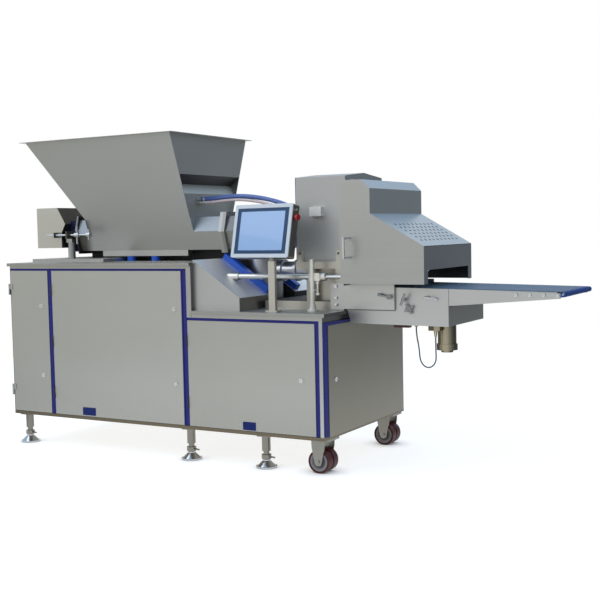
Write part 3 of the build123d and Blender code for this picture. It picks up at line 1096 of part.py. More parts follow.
entry_x = SIDE_END - 183
entry = rod((entry_x, CABLE_Y, pan_z - 10), (entry_x, CABLE_Y, pan_z), 9)
bumper = block((SIDE_END - 301, SIDE_END - 218), (side_in + 4, side_in + 40), (pan_z - 17, pan_z))
save("belt_gearmotor", belt_motor, terminal, gear_case, entry, bumper)


# Cable and hoses: straight runs joined by tangent arcs
def cord(points, radius):
    """Round cord along the points; prints its bend radii and compares the volume."""
    bends = []
    for a, b, c in zip(points, points[1:], points[2:]):
        back = Vector(*b) - Vector(*a)
        ahead = Vector(*c) - Vector(*b)
        turn = math.radians(back.get_angle(ahead))
        bends.append(0.45 * min(back.length, ahead.length) / math.tan(turn / 2))
    path = FilletPolyline(*points, radius=bends)
    start = Plane(origin=path @ 0, z_dir=path % 0)
    solid = sweep(start * Circle(radius), path=path)
    wanted = math.pi * radius ** 2 * path.length
    print("cord length", round(path.length, 1), "least bend", round(min(bends), 1),
          "volume ratio", round(solid.volume / wanted, 4))
    return solid


cable_turns = [(0, 10), (0, 50), (14, 115), (19, 185), (62, 209), (105, 185), (103, 121)]
cable_points = [(entry_x + along, CABLE_Y, pan_z - down) for along, down in cable_turns] + [gland]
save("motor_cable", cord(cable_points, CABLE_R))


def hose_points(name, rises):
    """Hose from the hopper's end wall over to the head cover, straight out of both fittings."""
    y0, z0, radius = hose_starts[name]
    y1, z1, radius = hose_ends[name]
    x0 = hose_x + HOSE_NUT
    x1 = HEAD_X - HOSE_NUT
    points = [(x0, y0, z0), (x0 + 70, y0, z0)]
    for share, rise in zip((0.27, 0.43, 0.59, 0.75), rises):
        points.append((x0 + share * (x1 - x0), y0 + share * (y1 - y0), z0 + rise))
    return points + [(x1 - 75, y1, z1), (x1, y1, z1)]


save("air_hose_upper", cord(hose_points("air_hose_upper", (8, 8, -6, -32)), HOSE_R))
save("air_hose_lower", cord(hose_points("air_hose_lower", (8, 8, -6, -32)), HOSE_R))
save("water_hose", cord(hose_points("water_hose", (9, 9, -7, -34)), WATER_R))

# Screen post, housing, panel and stop button
post_cap = POST_TOP + 8
stand_x = (POST_X - POST_W / 2, POST_X + POST_W / 2)
stand_y = (POST_Y - POST_D / 2, POST_Y + POST_D / 2)
stand = [block((stand_x[0] - 15, stand_x[1] + 15), (stand_y[0] - 10, stand_y[1] + 10), (LOW_Z, LOW_Z + 8)),
         hollow_bar(stand_x, stand_y, (LOW_Z + 8, POST_TOP), 2)]
cap = block(stand_x, stand_y, (POST_TOP, post_cap))
cap += rod((POST_X, POST_Y, post_cap), (POST_X, POST_Y, post_cap + 22), POST_PIN_R)
save("screen_post", *stand, cap)
yaw = math.radians(SCREEN_YAW)
tilt = math.radians(SCREEN_TILT)
face = Plane(origin=(SCREEN_X, SCREEN_Y, SCREEN_Z), x_dir=(math.cos(yaw), -math.sin(yaw), 0),
             z_dir=(-math.sin(yaw) * math.cos(tilt), -math.cos(yaw) * math.cos(tilt), math.sin(tilt)))
PANEL_W = SCREEN_W - 2 * SCREEN_BEZEL
PANEL_H = SCREEN_H - 2 * SCREEN_BEZEL
PANEL_D = 6
screen = extrude(face * RectangleRounded(SCREEN_W, SCREEN_H, 9), -SCREEN_D)
neck = rod((POST_X, POST_Y, post_cap + FACE_GAP), (POST_X, POST_Y, post_cap + 52), NECK_R)
screen += neck
screen -= extrude(face * Rectangle(PANEL_W + 1, PANEL_H + 1), -PANEL_D)
screen -= rod((POST_X, POST_Y, post_cap - 1), (POST_X, POST_Y, post_cap + 24), POST_PIN_R + PLAY)
stop_plane = Plane(origin=face.from_local_coords((SCREEN_W / 2, 71, -SCREEN_D / 2)), z_dir=face.x_dir)
knob_plane = Plane(origin=face.from_local_coords((SCREEN_W / 2, 108, -SCREEN_D / 2)), z_dir=face.x_dir)
screen -= extrude(stop_plane * Circle(8 + PLAY), -30)
knob = extrude(knob_plane * Circle(9), 16)
save("screen_housing", screen, knob)
save("screen_panel", extrude(face.offset(-PANEL_D) * Rectangle(PANEL_W, PANEL_H), PANEL_D - 1))
button = extrude(stop_plane.offset(-18) * Circle(8), 26)
button += extrude(stop_plane.offset(8) * Circle(16), 14)
save("stop_button", button)


# Hand levers on the conveyor
def lever(x, z, face_y, boss_r, reach_x, reach_z):
    """Boss turning on the side plate with a round handle."""
    boss = rod((x, face_y - 22, z), (x, face_y - FACE_GAP, z), boss_r)
    boss += rod((x, face_y - 14, z), (x + reach_x, face_y - 18, z + reach_z), 5)
    boss += rod((x + reach_x * 0.7, face_y - 16.8, z + reach_z * 0.7),
                (x + reach_x, face_y - 18, z + reach_z), 7)
    return boss


save("arm_lever", lever(*ARM_LEVER, arm_y[0], 13, -60, 12))
x, z = STAR_KNOB
star = rod((x, HEAD_Y - 22, z), (x, HEAD_Y - FACE_GAP, z), 16)
for spoke in range(4):
    angle = math.radians(30 + 90 * spoke)
    star += rod((x, HEAD_Y - 13, z), (x + 27 * math.cos(angle), HEAD_Y - 13, z + 27 * math.sin(angle)), 6)
save("tension_lever", star)
x, z = TEE_LEVER
tee = rod((x, HEAD_Y - 36, z), (x, HEAD_Y - FACE_GAP, z), 9)
tee += rod((x - 12, HEAD_Y - 36, z - 28), (x + 11, HEAD_Y - 36, z + 29), 6)
save("tee_lever", tee)
x, z = WING_SCREW
wing = rod((x, HEAD_Y - 20, z), (x, HEAD_Y - FACE_GAP, z), 10)
wing += rod((x + 22, HEAD_Y - 14, z - 4), (x - 42, HEAD_Y - 18, z + 7), 5)
save("wing_screw", wing)

# Control plate on stand-offs inside the cabinet
plate_y = (CAB_W - 120, CAB_W - 120 + SHEET)
control = [block((120, TALL_L - 129), plate_y, (CAB_Z + 140, TALL_Z - 115))]
for x in (180, TALL_L - 189):
    for z in (CAB_Z + 200, TALL_Z - 175):
        control.append(rod((x, plate_y[1], z), (x, CAB_W - PANEL, z), 10))
module_pitch = (TALL_L - 359) / 5
for index in range(5):
    x = 180 + module_pitch * index
    control.append(block((x, x + module_pitch - 40), (plate_y[0] - 120, plate_y[0]),
                         (TALL_Z - 455, TALL_Z - 175)))
control.append(block((160, TALL_L - 169), (plate_y[0] - 50, plate_y[0]), (CAB_Z + 220, CAB_Z + 300)))
save("control_plate", *control)
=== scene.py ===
import math

import bmesh
import bpy
import numpy as np
from mathutils import Matrix, Vector


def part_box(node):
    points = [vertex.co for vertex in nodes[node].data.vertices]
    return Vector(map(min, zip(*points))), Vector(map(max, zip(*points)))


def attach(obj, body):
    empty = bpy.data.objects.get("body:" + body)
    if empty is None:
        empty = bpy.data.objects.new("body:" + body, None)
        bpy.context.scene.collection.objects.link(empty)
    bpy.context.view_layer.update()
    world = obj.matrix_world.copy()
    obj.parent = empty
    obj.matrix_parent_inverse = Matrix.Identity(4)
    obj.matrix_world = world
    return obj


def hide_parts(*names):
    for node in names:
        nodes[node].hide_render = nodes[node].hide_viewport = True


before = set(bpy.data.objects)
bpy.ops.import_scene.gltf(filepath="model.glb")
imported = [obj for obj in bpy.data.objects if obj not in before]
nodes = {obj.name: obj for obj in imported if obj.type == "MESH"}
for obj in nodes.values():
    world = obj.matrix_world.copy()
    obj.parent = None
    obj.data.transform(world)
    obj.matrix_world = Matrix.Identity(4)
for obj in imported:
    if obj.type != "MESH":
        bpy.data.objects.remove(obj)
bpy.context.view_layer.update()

# Metres in the frame, X to the outfeed, Y to the back, Z up; millimetres in the points given to place
ALONG_X, ALONG_Y, ALONG_Z = (1, 0, 0), (0, 1, 0), (0, 0, 1)
FAR = 9.0
MM = 0.001


def edges(node):
    """Lowest and highest corner of a node, to a hundredth of a millimetre."""
    return [np.array(corner).round(5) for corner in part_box(node)]


CORNER = edges("cabinet_panels")[0] * (1, 1, 0)


def place(x, y, z):
    """Point given in millimetres from the cabinet's left front corner on the floor."""
    return CORNER + np.array((x, y, z)) * MM


# Camera fitted to the photograph
YAW, PITCH, ROLL = (math.radians(angle) for angle in (29.769, 3.832, -1.184))
CAMERA_AT = (2.94359, -5.00222, 1.23606)
LENS, SENSOR = 62.59, 36
VIEW_DEPTH = 100


def photo_camera():
    """Camera at the photograph's place: turned by yaw, tipped down by pitch, rolled last."""
    ahead = Vector((-math.sin(YAW) * math.cos(PITCH), math.cos(YAW) * math.cos(PITCH), -math.sin(PITCH)))
    right = Vector((math.cos(YAW), math.sin(YAW), 0))
    up = right.cross(ahead)
    side = right * math.cos(ROLL) + up * math.sin(ROLL)
    top = up * math.cos(ROLL) - right * math.sin(ROLL)
    data = bpy.data.cameras.new("photo_camera")
    data.lens = LENS
    data.sensor_width = SENSOR
    data.clip_end = VIEW_DEPTH
    camera = bpy.data.objects.new("photo_camera", data)
    bpy.context.collection.objects.link(camera)
    camera.location = CAMERA_AT
    camera.rotation_euler = Matrix((side, top, -ahead)).transposed().to_euler()
    bpy.context.scene.camera = camera


photo_camera()
bpy.context.scene.view_settings.view_transform = "Standard"


# Shader building blocks
def feed(tree, socket, value):
    """Links a socket to another one, or sets it to a number, vector or colour."""
    if isinstance(value, bpy.types.NodeSocket):
        tree.links.new(value, socket)
    else:
        socket.default_value = (*value, 1) if socket.type == "RGBA" else value


def math_node(tree, operation, first, second=0.0):
    """Value of a maths operation on two sockets or numbers."""
    node = tree.nodes.new("ShaderNodeMath")
    node.operation = operation
    feed(tree, node.inputs[0], first)
    feed(tree, node.inputs[1], second)
    return node.outputs["Value"]


def vector_node(tree, operation, first, second=(0, 0, 0)):
    """Outputs of a vector operation on two sockets or vectors."""
    node = tree.nodes.new("ShaderNodeVectorMath")
    node.operation = operation
    feed(tree, node.inputs[0], first)
    feed(tree, node.inputs[1], second)
    return node.outputs


def along(tree, vector, direction):
    """Distance of a vector along a direction."""
    return vector_node(tree, "DOT_PRODUCT", vector, direction)["Value"]


def stretched_noise(tree, vector, scale, detail=2.0):
    """Noise whose coordinates are multiplied by a scale along each axis."""
    noise = tree.nodes.new("ShaderNodeTexNoise")
    noise.inputs["Scale"].default_value = 1.0
    noise.inputs["Detail"].default_value = detail
    feed(tree, noise.inputs["Vector"], vector_node(tree, "MULTIPLY", vector, scale)["Vector"])
    return noise.outputs["Fac"]


def blend_values(tree, factor, first, second):
    """Linear blend of two values by a factor."""
    node = tree.nodes.new("ShaderNodeMix")
    node.data_type = "FLOAT"
    for label, value in (("Factor", factor), ("A", first), ("B", second)):
        feed(tree, node.inputs[label], value)
    return node.outputs["Result"]


def blend_colours(tree, factor, first, second):
    """Linear blend of two colours by a factor."""
    node = tree.nodes.new("ShaderNodeMix")
    node.data_type = "RGBA"
    feed(tree, node.inputs["Factor"], factor)
    for socket, value in zip([socket for socket in node.inputs if socket.type == "RGBA"], (first, second)):
        feed(tree, socket, value)
    return [socket for socket in node.outputs if socket.type == "RGBA"][0]


def ramp(tree, value, low, high):
    """Value carried from 0 to 1 between two places, smoothly."""
    node = tree.nodes.new("ShaderNodeMapRange")
    node.interpolation_type = "SMOOTHSTEP"
    node.inputs["From Min"].default_value = low
    node.inputs["From Max"].default_value = high
    feed(tree, node.inputs["Value"], value)
    return node.outputs["Result"]


def bump(tree, shader, height, distance, strength):
    """Bump from a height socket into the shader's normal."""
    node = tree.nodes.new("ShaderNodeBump")
    node.inputs["Distance"].default_value = distance
    node.inputs["Strength"].default_value = strength
    feed(tree, node.inputs["Height"], height)
    feed(tree, shader.inputs["Normal"], node.outputs["Normal"])


def new_material(name):
    """Material with its node tree, its shader and the Object coordinates."""
    material = bpy.data.materials.new(name)
    material.use_nodes = True
    tree = material.node_tree
    coordinate = tree.nodes.new("ShaderNodeTexCoord").outputs["Object"]
    return material, tree, tree.nodes["Principled BSDF"], coordinate


def coordinates(material):
    """Outputs of a material's own coordinate node."""
    return material.node_tree.nodes["Texture Coordinate"].outputs


# Brushed steel
BRUSH_LENGTHWAYS, BRUSH_ACROSS = 3, 260
CLOUDS = (2.2, 2.6, 3.1)
CLOUD_SHARE = 0.55
BRUSH_DEPTH = 0.0002
SIDEWAYS = 0.7


def brushed_group():
    """Brush lines along X, or along Y on faces that look along X, with slow cloudy patches."""
    group = bpy.data.node_groups.new("brushed_grain", "ShaderNodeTree")
    group.interface.new_socket(name="Vector", in_out="INPUT", socket_type="NodeSocketVector")
    group.interface.new_socket(name="Fineness", in_out="INPUT", socket_type="NodeSocketFloat")
    for label in ("Line", "Cloud"):
        group.interface.new_socket(name=label, in_out="OUTPUT", socket_type="NodeSocketFloat")
    start = group.nodes.new("NodeGroupInput").outputs
    end = group.nodes.new("NodeGroupOutput").inputs
    scaled = group.nodes.new("ShaderNodeVectorMath")
    scaled.operation = "SCALE"
    feed(group, scaled.inputs[0], start["Vector"])
    feed(group, scaled.inputs["Scale"], start["Fineness"])
    along_x = stretched_noise(group, scaled.outputs["Vector"], (BRUSH_LENGTHWAYS, BRUSH_ACROSS, BRUSH_ACROSS))
    along_y = stretched_noise(group, scaled.outputs["Vector"], (BRUSH_ACROSS, BRUSH_LENGTHWAYS, BRUSH_ACROSS))
    normal = group.nodes.new("ShaderNodeTexCoord").outputs["Normal"]
    turn = math_node(group, "ABSOLUTE", along(group, normal, ALONG_X))
    sideways = math_node(group, "GREATER_THAN", turn, SIDEWAYS)
    feed(group, end["Line"], blend_values(group, sideways, along_x, along_y))
    feed(group, end["Cloud"], stretched_noise(group, start["Vector"], CLOUDS, detail=3))
    return group


BRUSHED = brushed_group()


def brushed_steel(name, dark, light, rough, spread=0.06, fineness=1.0, relief=0.1):
    """Satin stainless: colour and roughness drift with brush lines and cloudy patches."""
    material, tree, shader, coordinate = new_material(name)
    grain = tree.nodes.new("ShaderNodeGroup")
    grain.node_tree = BRUSHED
    grain.inputs["Fineness"].default_value = fineness
    feed(tree, grain.inputs["Vector"], coordinate)
    mixed = blend_values(tree, CLOUD_SHARE, grain.outputs["Line"], grain.outputs["Cloud"])
    feed(tree, shader.inputs["Base Color"], blend_colours(tree, mixed, dark, light))
    feed(tree, shader.inputs["Roughness"], blend_values(tree, mixed, rough - spread, rough + spread))
    shader.inputs["Metallic"].default_value = 1.0
    bump(tree, shader, grain.outputs["Line"], BRUSH_DEPTH, strength=relief)
    return material


# Masks: values from 0 to 1 that say where a material has another finish or painted light and shade
EDGE = 0.0005
SQUARE_ON = 0.8, 0.95
TURNED = 0.6, 0.8
LEANING = 0.2, 0.35


def span(material, direction, low, high, soft=EDGE):
    """Mask that is 1 between two places along a direction of Object space."""
    tree = material.node_tree
    reach = along(tree, coordinates(material)["Object"], direction)
    over = ramp(tree, reach, high - soft, high + soft)
    return math_node(tree, "MULTIPLY", ramp(tree, reach, low - soft, low + soft),
                     math_node(tree, "SUBTRACT", 1.0, over))


def outlook(material, direction, low, high):
    """Mask that rises from 0 to 1 as faces turn towards a direction, between two cosines."""
    tree = material.node_tree
    return ramp(tree, along(tree, coordinates(material)["Normal"], direction), low, high)


def shared(material, *masks):
    """Product of masks: 1 only where each of them is 1."""
    product = masks[0]
    for mask in masks[1:]:
        product = math_node(material.node_tree, "MULTIPLY", product, mask)
    return product


def finish_and_painted_light(material, mask, dark, light, rough, metallic=1.0):
    """Another finish on a material where a mask is 1, also used for painted light and shade: colour between
    two tones, roughness and metallic.
    """
    tree = material.node_tree
    shader = tree.nodes["Principled BSDF"]
    fine = stretched_noise(tree, coordinates(material)["Object"], (90, 90, 90), detail=3)
    colour = blend_colours(tree, fine, dark, light)
    for label, value in (("Base Color", colour), ("Roughness", rough), ("Metallic", metallic)):
        socket = shader.inputs[label]
        old = socket.links[0].from_socket if socket.links else socket.default_value
        if old != value:
            blend = blend_colours if label == "Base Color" else blend_values
            feed(tree, socket, blend(tree, mask, old, value))


def paint_inner_shade(material, centre, half_width, dark, light):
    """Dull dark painted shade on faces that look towards a centre line along Y, within a half width."""
    tree = material.node_tree
    point, normal = coordinates(material)["Object"], coordinates(material)["Normal"]
    away = vector_node(tree, "SUBTRACT", point, centre)["Vector"]
    turn = vector_node(tree, "DOT_PRODUCT", normal, away)["Value"]
    across = math_node(tree, "ABSOLUTE", along(tree, point, ALONG_Y))
    inside = shared(material, math_node(tree, "LESS_THAN", turn, 0.0),
                    math_node(tree, "LESS_THAN", across, half_width))
    finish_and_painted_light(material, inside, dark, light, rough=0.6, metallic=0.0)


# Cabinet: doors, sheets, decks, end panel and frame
SATIN = {"rough": 0.5, "spread": 0.04, "relief": 0.05}
SHEET = {"dark": (0.49, 0.48, 0.435), "light": (0.55, 0.54, 0.49), **SATIN}
DOOR_FOOT = edges("wide_door")[0][2]
WIDE_DOOR_END = edges("wide_door")[1][0]
SEAM_HINGES_X = CORNER[0] + 0.1175
HINGES_Y = CORNER[1] - 0.0008
END_RAIL_Z = 0.7
FOOT_SHADE, FOOT_SOFT = 0.1, 0.15
DOOR_STRIP = 0.006
SILL_GAP = 0.001


def shade_foot(steel, dark, light):
    """Painted shade that comes in softly towards the foot of a door."""
    foot = span(steel, ALONG_Z, -FAR, DOOR_FOOT + FOOT_SHADE, FOOT_SOFT)
    finish_and_painted_light(steel, foot, dark, light, rough=0.5)


def shade_seam_hinges(steel):
    """Dark navy on the hinges that stand out of the door seams, the seals' blue with painted shade; the outer
    hinges stay bare.
    """
    hinges = shared(steel, span(steel, ALONG_Y, -FAR, HINGES_Y), span(steel, ALONG_X, SEAM_HINGES_X, FAR))
    finish_and_painted_light(steel, hinges, dark=(0.012, 0.012, 0.06), light=(0.02, 0.02, 0.09), rough=0.45, metallic=0.0)


def tall_door_material():
    """Tall doors: painted shade towards the foot and on the seam hinges, and a blue strip on the free edge of
    the wide one.
    """
    steel = brushed_steel("satin_panel", **SHEET)
    shade_foot(steel, dark=(0.42, 0.412, 0.373), light=(0.475, 0.466, 0.423))
    shade_seam_hinges(steel)
    strip = span(steel, ALONG_X, WIDE_DOOR_END - DOOR_STRIP, FAR)
    finish_and_painted_light(steel, strip, dark=(0.015, 0.015, 0.12), light=(0.03, 0.03, 0.19), rough=0.5, metallic=0.0)
    return steel


def low_door_material():
    """Low door, a little darker than the tall ones by painted shade, with more painted shade towards the foot
    and on the seam hinges.
    """
    steel = brushed_steel("satin_low", dark=(0.45, 0.44, 0.395), light=(0.505, 0.495, 0.445), **SATIN)
    shade_foot(steel, dark=(0.39, 0.381, 0.342), light=(0.437, 0.428, 0.385))
    shade_seam_hinges(steel)
    return steel


def sheet_material():
    """Cabinet sheets, with painted shade where they look to the outfeed."""
    steel = brushed_steel("satin_body", **SHEET)
    outfeed = outlook(steel, ALONG_X, *TURNED)
    finish_and_painted_light(steel, outfeed, dark=(0.17, 0.166, 0.155), light=(0.2, 0.196, 0.185), rough=0.5)
    return steel


def deck_material():
    """Decks, with painted shade on the edges that look to the outfeed."""
    steel = brushed_steel("deck_steel", dark=(0.37, 0.36, 0.33), light=(0.43, 0.42, 0.385), rough=0.48,
                          spread=0.05, relief=0.06)
    outfeed = outlook(steel, ALONG_X, *TURNED)
    finish_and_painted_light(steel, outfeed, dark=(0.1, 0.098, 0.09), light=(0.13, 0.127, 0.117), rough=0.48)
    return steel


def base_frame_material():
    """Cabinet frame: brownish sills, navy with painted shade on the seam hinges, and painted shade on the
    rail at the outfeed end.
    """
    steel = brushed_steel("satin_frame", dark=(0.44, 0.435, 0.41), light=(0.54, 0.535, 0.51), rough=0.4,
                          spread=0.08, relief=0.25)
    sills = span(steel, ALONG_Z, -FAR, DOOR_FOOT - SILL_GAP)
    finish_and_painted_light(steel, sills, dark=(0.15, 0.125, 0.085), light=(0.21, 0.175, 0.125), rough=0.4)
    shade_seam_hinges(steel)
    end_rail_shade = shared(steel, outlook(steel, ALONG_X, *TURNED), span(steel, ALONG_Z, END_RAIL_Z, FAR))
    finish_and_painted_light(steel, end_rail_shade, dark=(0.13, 0.128, 0.12), light=(0.17, 0.167, 0.16), rough=0.4)
    return steel


satin_panel = tall_door_material()
satin_low = low_door_material()
satin_body = sheet_material()
deck_steel = deck_material()
# End panel: the sheets' steel made darker, painted shade on the face that looks to the outfeed
satin_end = brushed_steel("satin_end", dark=(0.29, 0.265, 0.215), light=(0.34, 0.315, 0.255), **SATIN)
satin_frame = base_frame_material()

# Feed: drive hood, hopper with its base, trough, inlet and pump
HOPPER = {"dark": (0.445, 0.437, 0.405), "light": (0.52, 0.512, 0.478), "rough": 0.5, "spread": 0.05,
          "relief": 0.06}
BEAM_HALF = 0.07
LOWER_FOLD, UPPER_FOLD = (0.7, 0, -0.714), (0.83, 0, 0.55)
FITTINGS_X, FITTINGS_Y, FITTINGS_Z = (-0.496, -0.48), (-0.125, -0.03), (1.385, 1.445)
TROUGH_START = edges("auger_trough")[0][0]
TROUGH_LEAN, TROUGH_SHADE, TROUGH_SOFT = (1, 0, -0.2108), -1.518, 0.036
BEARING_LENGTH = 0.07


def hood_material():
    """Drive hood, with painted shade where it looks to the hopper."""
    steel = brushed_steel("hood_steel", dark=(0.57, 0.565, 0.525), light=(0.68, 0.675, 0.625), rough=0.36,
                          spread=0.08)
    outfeed = outlook(steel, ALONG_X, low=0.5, high=0.7)
    finish_and_painted_light(steel, outfeed, dark=(0.13, 0.125, 0.115), light=(0.18, 0.175, 0.16), rough=0.45)
    return steel


def hopper_base_material():
    """Hopper base, with painted shadow on the beam below the trough."""
    steel = brushed_steel("base_steel", dark=(0.45, 0.45, 0.435), light=(0.55, 0.55, 0.53), rough=0.4)
    beam = span(steel, ALONG_Y, -BEAM_HALF, BEAM_HALF)
    finish_and_painted_light(steel, beam, dark=(0.012, 0.012, 0.012), light=(0.025, 0.025, 0.024), rough=0.6, metallic=0.0)
    return steel


def hopper_material():
    """Hopper walls: painted shade on the lower fold and painted light on the upper fold of the end recess,
    and pale hose fittings.
    """
    steel = brushed_steel("hopper_steel", **HOPPER)
    # Painted shade on the fold that looks down, painted light on the fold that looks up
    lower = outlook(steel, LOWER_FOLD, low=0.87, high=0.95)
    finish_and_painted_light(steel, lower, dark=(0.055, 0.055, 0.053), light=(0.075, 0.075, 0.072), rough=0.5)
    upper = outlook(steel, UPPER_FOLD, low=0.9, high=0.97)
    finish_and_painted_light(steel, upper, dark=(0.52, 0.5, 0.45), light=(0.62, 0.6, 0.53), rough=0.5)
    fittings = shared(steel, span(steel, ALONG_X, *FITTINGS_X), span(steel, ALONG_Y, *FITTINGS_Y),
                      span(steel, ALONG_Z, *FITTINGS_Z))
    finish_and_painted_light(steel, fittings, dark=(0.5, 0.47, 0.45), light=(0.7, 0.66, 0.63), rough=0.3, metallic=0.2)
    return steel


def trough_material():
    """Screw trough: painted shade towards the drive, painted shade and a bluish painted reflection on top,
    navy at the bearing block.
    """
    steel = brushed_steel("trough_steel", **HOPPER)
    drive_end_shade = span(steel, TROUGH_LEAN, -FAR, TROUGH_SHADE, TROUGH_SOFT)
    finish_and_painted_light(steel, drive_end_shade, dark=(0.1, 0.095, 0.082), light=(0.15, 0.143, 0.125), rough=0.45)
    top = outlook(steel, ALONG_Z, *LEANING)
    finish_and_painted_light(steel, top, dark=(0.27, 0.3, 0.33), light=(0.32, 0.35, 0.385), rough=0.5)
    bearing = span(steel, ALONG_X, TROUGH_START - EDGE, TROUGH_START + BEARING_LENGTH - EDGE)
    finish_and_painted_light(steel, bearing, dark=(0.008, 0.01, 0.05), light=(0.02, 0.025, 0.1), rough=0.35, metallic=0.0)
    return steel


def inlet_material():
    """Inlet housing: darker than the hopper by painted shade, with more painted shade on top."""
    steel = brushed_steel("inlet_steel", dark=(0.3, 0.295, 0.275), light=(0.37, 0.365, 0.34), rough=0.42,
                          spread=0.05, relief=0.08)
    top = outlook(steel, ALONG_Z, *LEANING)
    finish_and_painted_light(steel, top, dark=(0.13, 0.135, 0.14), light=(0.17, 0.175, 0.18), rough=0.42)
    return steel


hood_steel = hood_material()
base_steel = hopper_base_material()
hopper_steel = hopper_material()
trough_steel = trough_material()
inlet_steel = inlet_material()
cast_steel = brushed_steel("cast_steel", dark=(0.42, 0.43, 0.45), light=(0.54, 0.55, 0.58), rough=0.3,
                           fineness=0.7)

# Head: frame, cover, guard, sloped covers and screen post
POST = {"dark": (0.58, 0.555, 0.495), "light": (0.68, 0.655, 0.59), "rough": 0.36}
PLINTH_Z = 0.86, 0.868
COVER_START = edges("head_cover")[0][0]
# The cover's front wall mirrors its back wall, as a small box stands out in front
COVER_FRONT = -edges("head_cover")[1][1]
COVER_STRIP, WALL_PLAY = 0.0195, 0.0003
UPPER_WALL_Z, UPPER_WALL_SOFT = 1.4, 0.12
GUARD_HEART, GUARD_HALF = (0.6, 0, 1.1), 0.326
GUARD_STEP_Z = 1.2
SLOPE_HEART, SLOPE_HALF = (-0.3, 0, 0.83), 0.3
BACK_COVER_Y = 0.1


def head_frame_material():
    """Head frame, with painted shade on the plinth's top."""
    steel = brushed_steel("frame_steel", **POST)
    plinth = shared(steel, outlook(steel, ALONG_Z, *SQUARE_ON), span(steel, ALONG_Z, *PLINTH_Z))
    finish_and_painted_light(steel, plinth, dark=(0.02, 0.02, 0.019), light=(0.04, 0.04, 0.038), rough=0.6, metallic=0.0)
    return steel


def head_cover_material():
    """Head cover: pale small box on the front, painted shade on the upper wall, blue strip on the left edge.
    """
    steel = brushed_steel("tower_steel", dark=(0.52, 0.515, 0.5), light=(0.61, 0.605, 0.59), rough=0.48,
                          spread=0.05, relief=0.08)
    small_box = span(steel, ALONG_Y, -FAR, COVER_FRONT - EDGE)
    finish_and_painted_light(steel, small_box, dark=(0.84, 0.82, 0.78), light=(0.93, 0.91, 0.87), rough=0.5)
    wall = shared(steel, span(steel, ALONG_Z, UPPER_WALL_Z, FAR, UPPER_WALL_SOFT),
                  span(steel, ALONG_Y, COVER_FRONT - WALL_PLAY, FAR))
    finish_and_painted_light(steel, wall, dark=(0.42, 0.416, 0.404), light=(0.49, 0.486, 0.474), rough=0.48)
    strip = shared(steel, outlook(steel, (0, -1, 0), *SQUARE_ON),
                   span(steel, ALONG_X, -FAR, COVER_START + COVER_STRIP))
    finish_and_painted_light(steel, strip, dark=(0.02, 0.025, 0.2), light=(0.03, 0.04, 0.28), rough=0.45, metallic=0.0)
    return steel


def guard_material():
    """Guard: painted shade inside, painted shade and a bluish painted reflection on the nose, a bluish
    painted reflection on the step and top, pale bow handles on both sides.
    """
    steel = brushed_steel("guard_steel", dark=(0.45, 0.45, 0.435), light=(0.55, 0.55, 0.53), rough=0.36)
    paint_inner_shade(steel, GUARD_HEART, GUARD_HALF, dark=(0.008, 0.008, 0.009), light=(0.018, 0.018, 0.02))
    outfeed = outlook(steel, ALONG_X, *SQUARE_ON)
    nose = shared(steel, outfeed, span(steel, ALONG_Z, -FAR, GUARD_STEP_Z))
    finish_and_painted_light(steel, nose, dark=(0.28, 0.3, 0.315), light=(0.335, 0.36, 0.375), rough=0.4)
    step = shared(steel, outfeed, span(steel, ALONG_Z, GUARD_STEP_Z, FAR))
    finish_and_painted_light(steel, step, dark=(0.45, 0.48, 0.49), light=(0.55, 0.585, 0.6), rough=0.36)
    top = outlook(steel, ALONG_Z, low=0.3, high=0.5)
    finish_and_painted_light(steel, top, dark=(0.435, 0.477, 0.492), light=(0.535, 0.583, 0.6), rough=0.36)
    for side in (-1, 1):
        handles = span(steel, (0, side, 0), GUARD_HALF + EDGE, FAR)
        finish_and_painted_light(steel, handles, dark=(0.62, 0.62, 0.6), light=(0.72, 0.72, 0.7), rough=0.4)
    return steel


def sloped_cover_material():
    """Sloped covers: painted light on the slopes, painted shade on the ends, painted shadow on the back end
    and on the inner faces.
    """
    steel = brushed_steel("cover_steel", dark=(0.5, 0.5, 0.485), light=(0.58, 0.58, 0.56), rough=0.42,
                          spread=0.05, relief=0.08)
    slope = outlook(steel, ALONG_Z, low=0.2, high=0.5)
    finish_and_painted_light(steel, slope, dark=(0.84, 0.8, 0.78), light=(0.94, 0.9, 0.88), rough=0.5)
    ends = outlook(steel, ALONG_X, *SQUARE_ON)
    finish_and_painted_light(steel, ends, dark=(0.3, 0.29, 0.27), light=(0.37, 0.36, 0.335), rough=0.4)
    back_end_shadow = shared(steel, ends, span(steel, ALONG_Y, BACK_COVER_Y, FAR))
    finish_and_painted_light(steel, back_end_shadow, dark=(0.03, 0.03, 0.028), light=(0.05, 0.05, 0.047), rough=0.6, metallic=0.0)
    paint_inner_shade(steel, SLOPE_HEART, SLOPE_HALF, dark=(0.02, 0.02, 0.019), light=(0.04, 0.04, 0.038))
    return steel


post_steel = brushed_steel("post_steel", **POST)
frame_steel = head_frame_material()
tower_steel = head_cover_material()
guard_steel = guard_material()
cover_steel = sloped_cover_material()

# Conveyor: sides, arms and gearmotor
ARMS_LOW, ARMS_HIGH = edges("conveyor_arms")
CONVEYOR_END = edges("conveyor_frame")[1][0]
END_PLATE = (0.98, 0, -0.2)
NOSE_PLATE = 0.0205
ARM_SHADE, ARM_PLAY = 0.006, 0.0001
TERMINALS_END = edges("belt_gearmotor")[0][0] + 0.0855
MOTOR_COLLAR_X = 0.94, 0.972


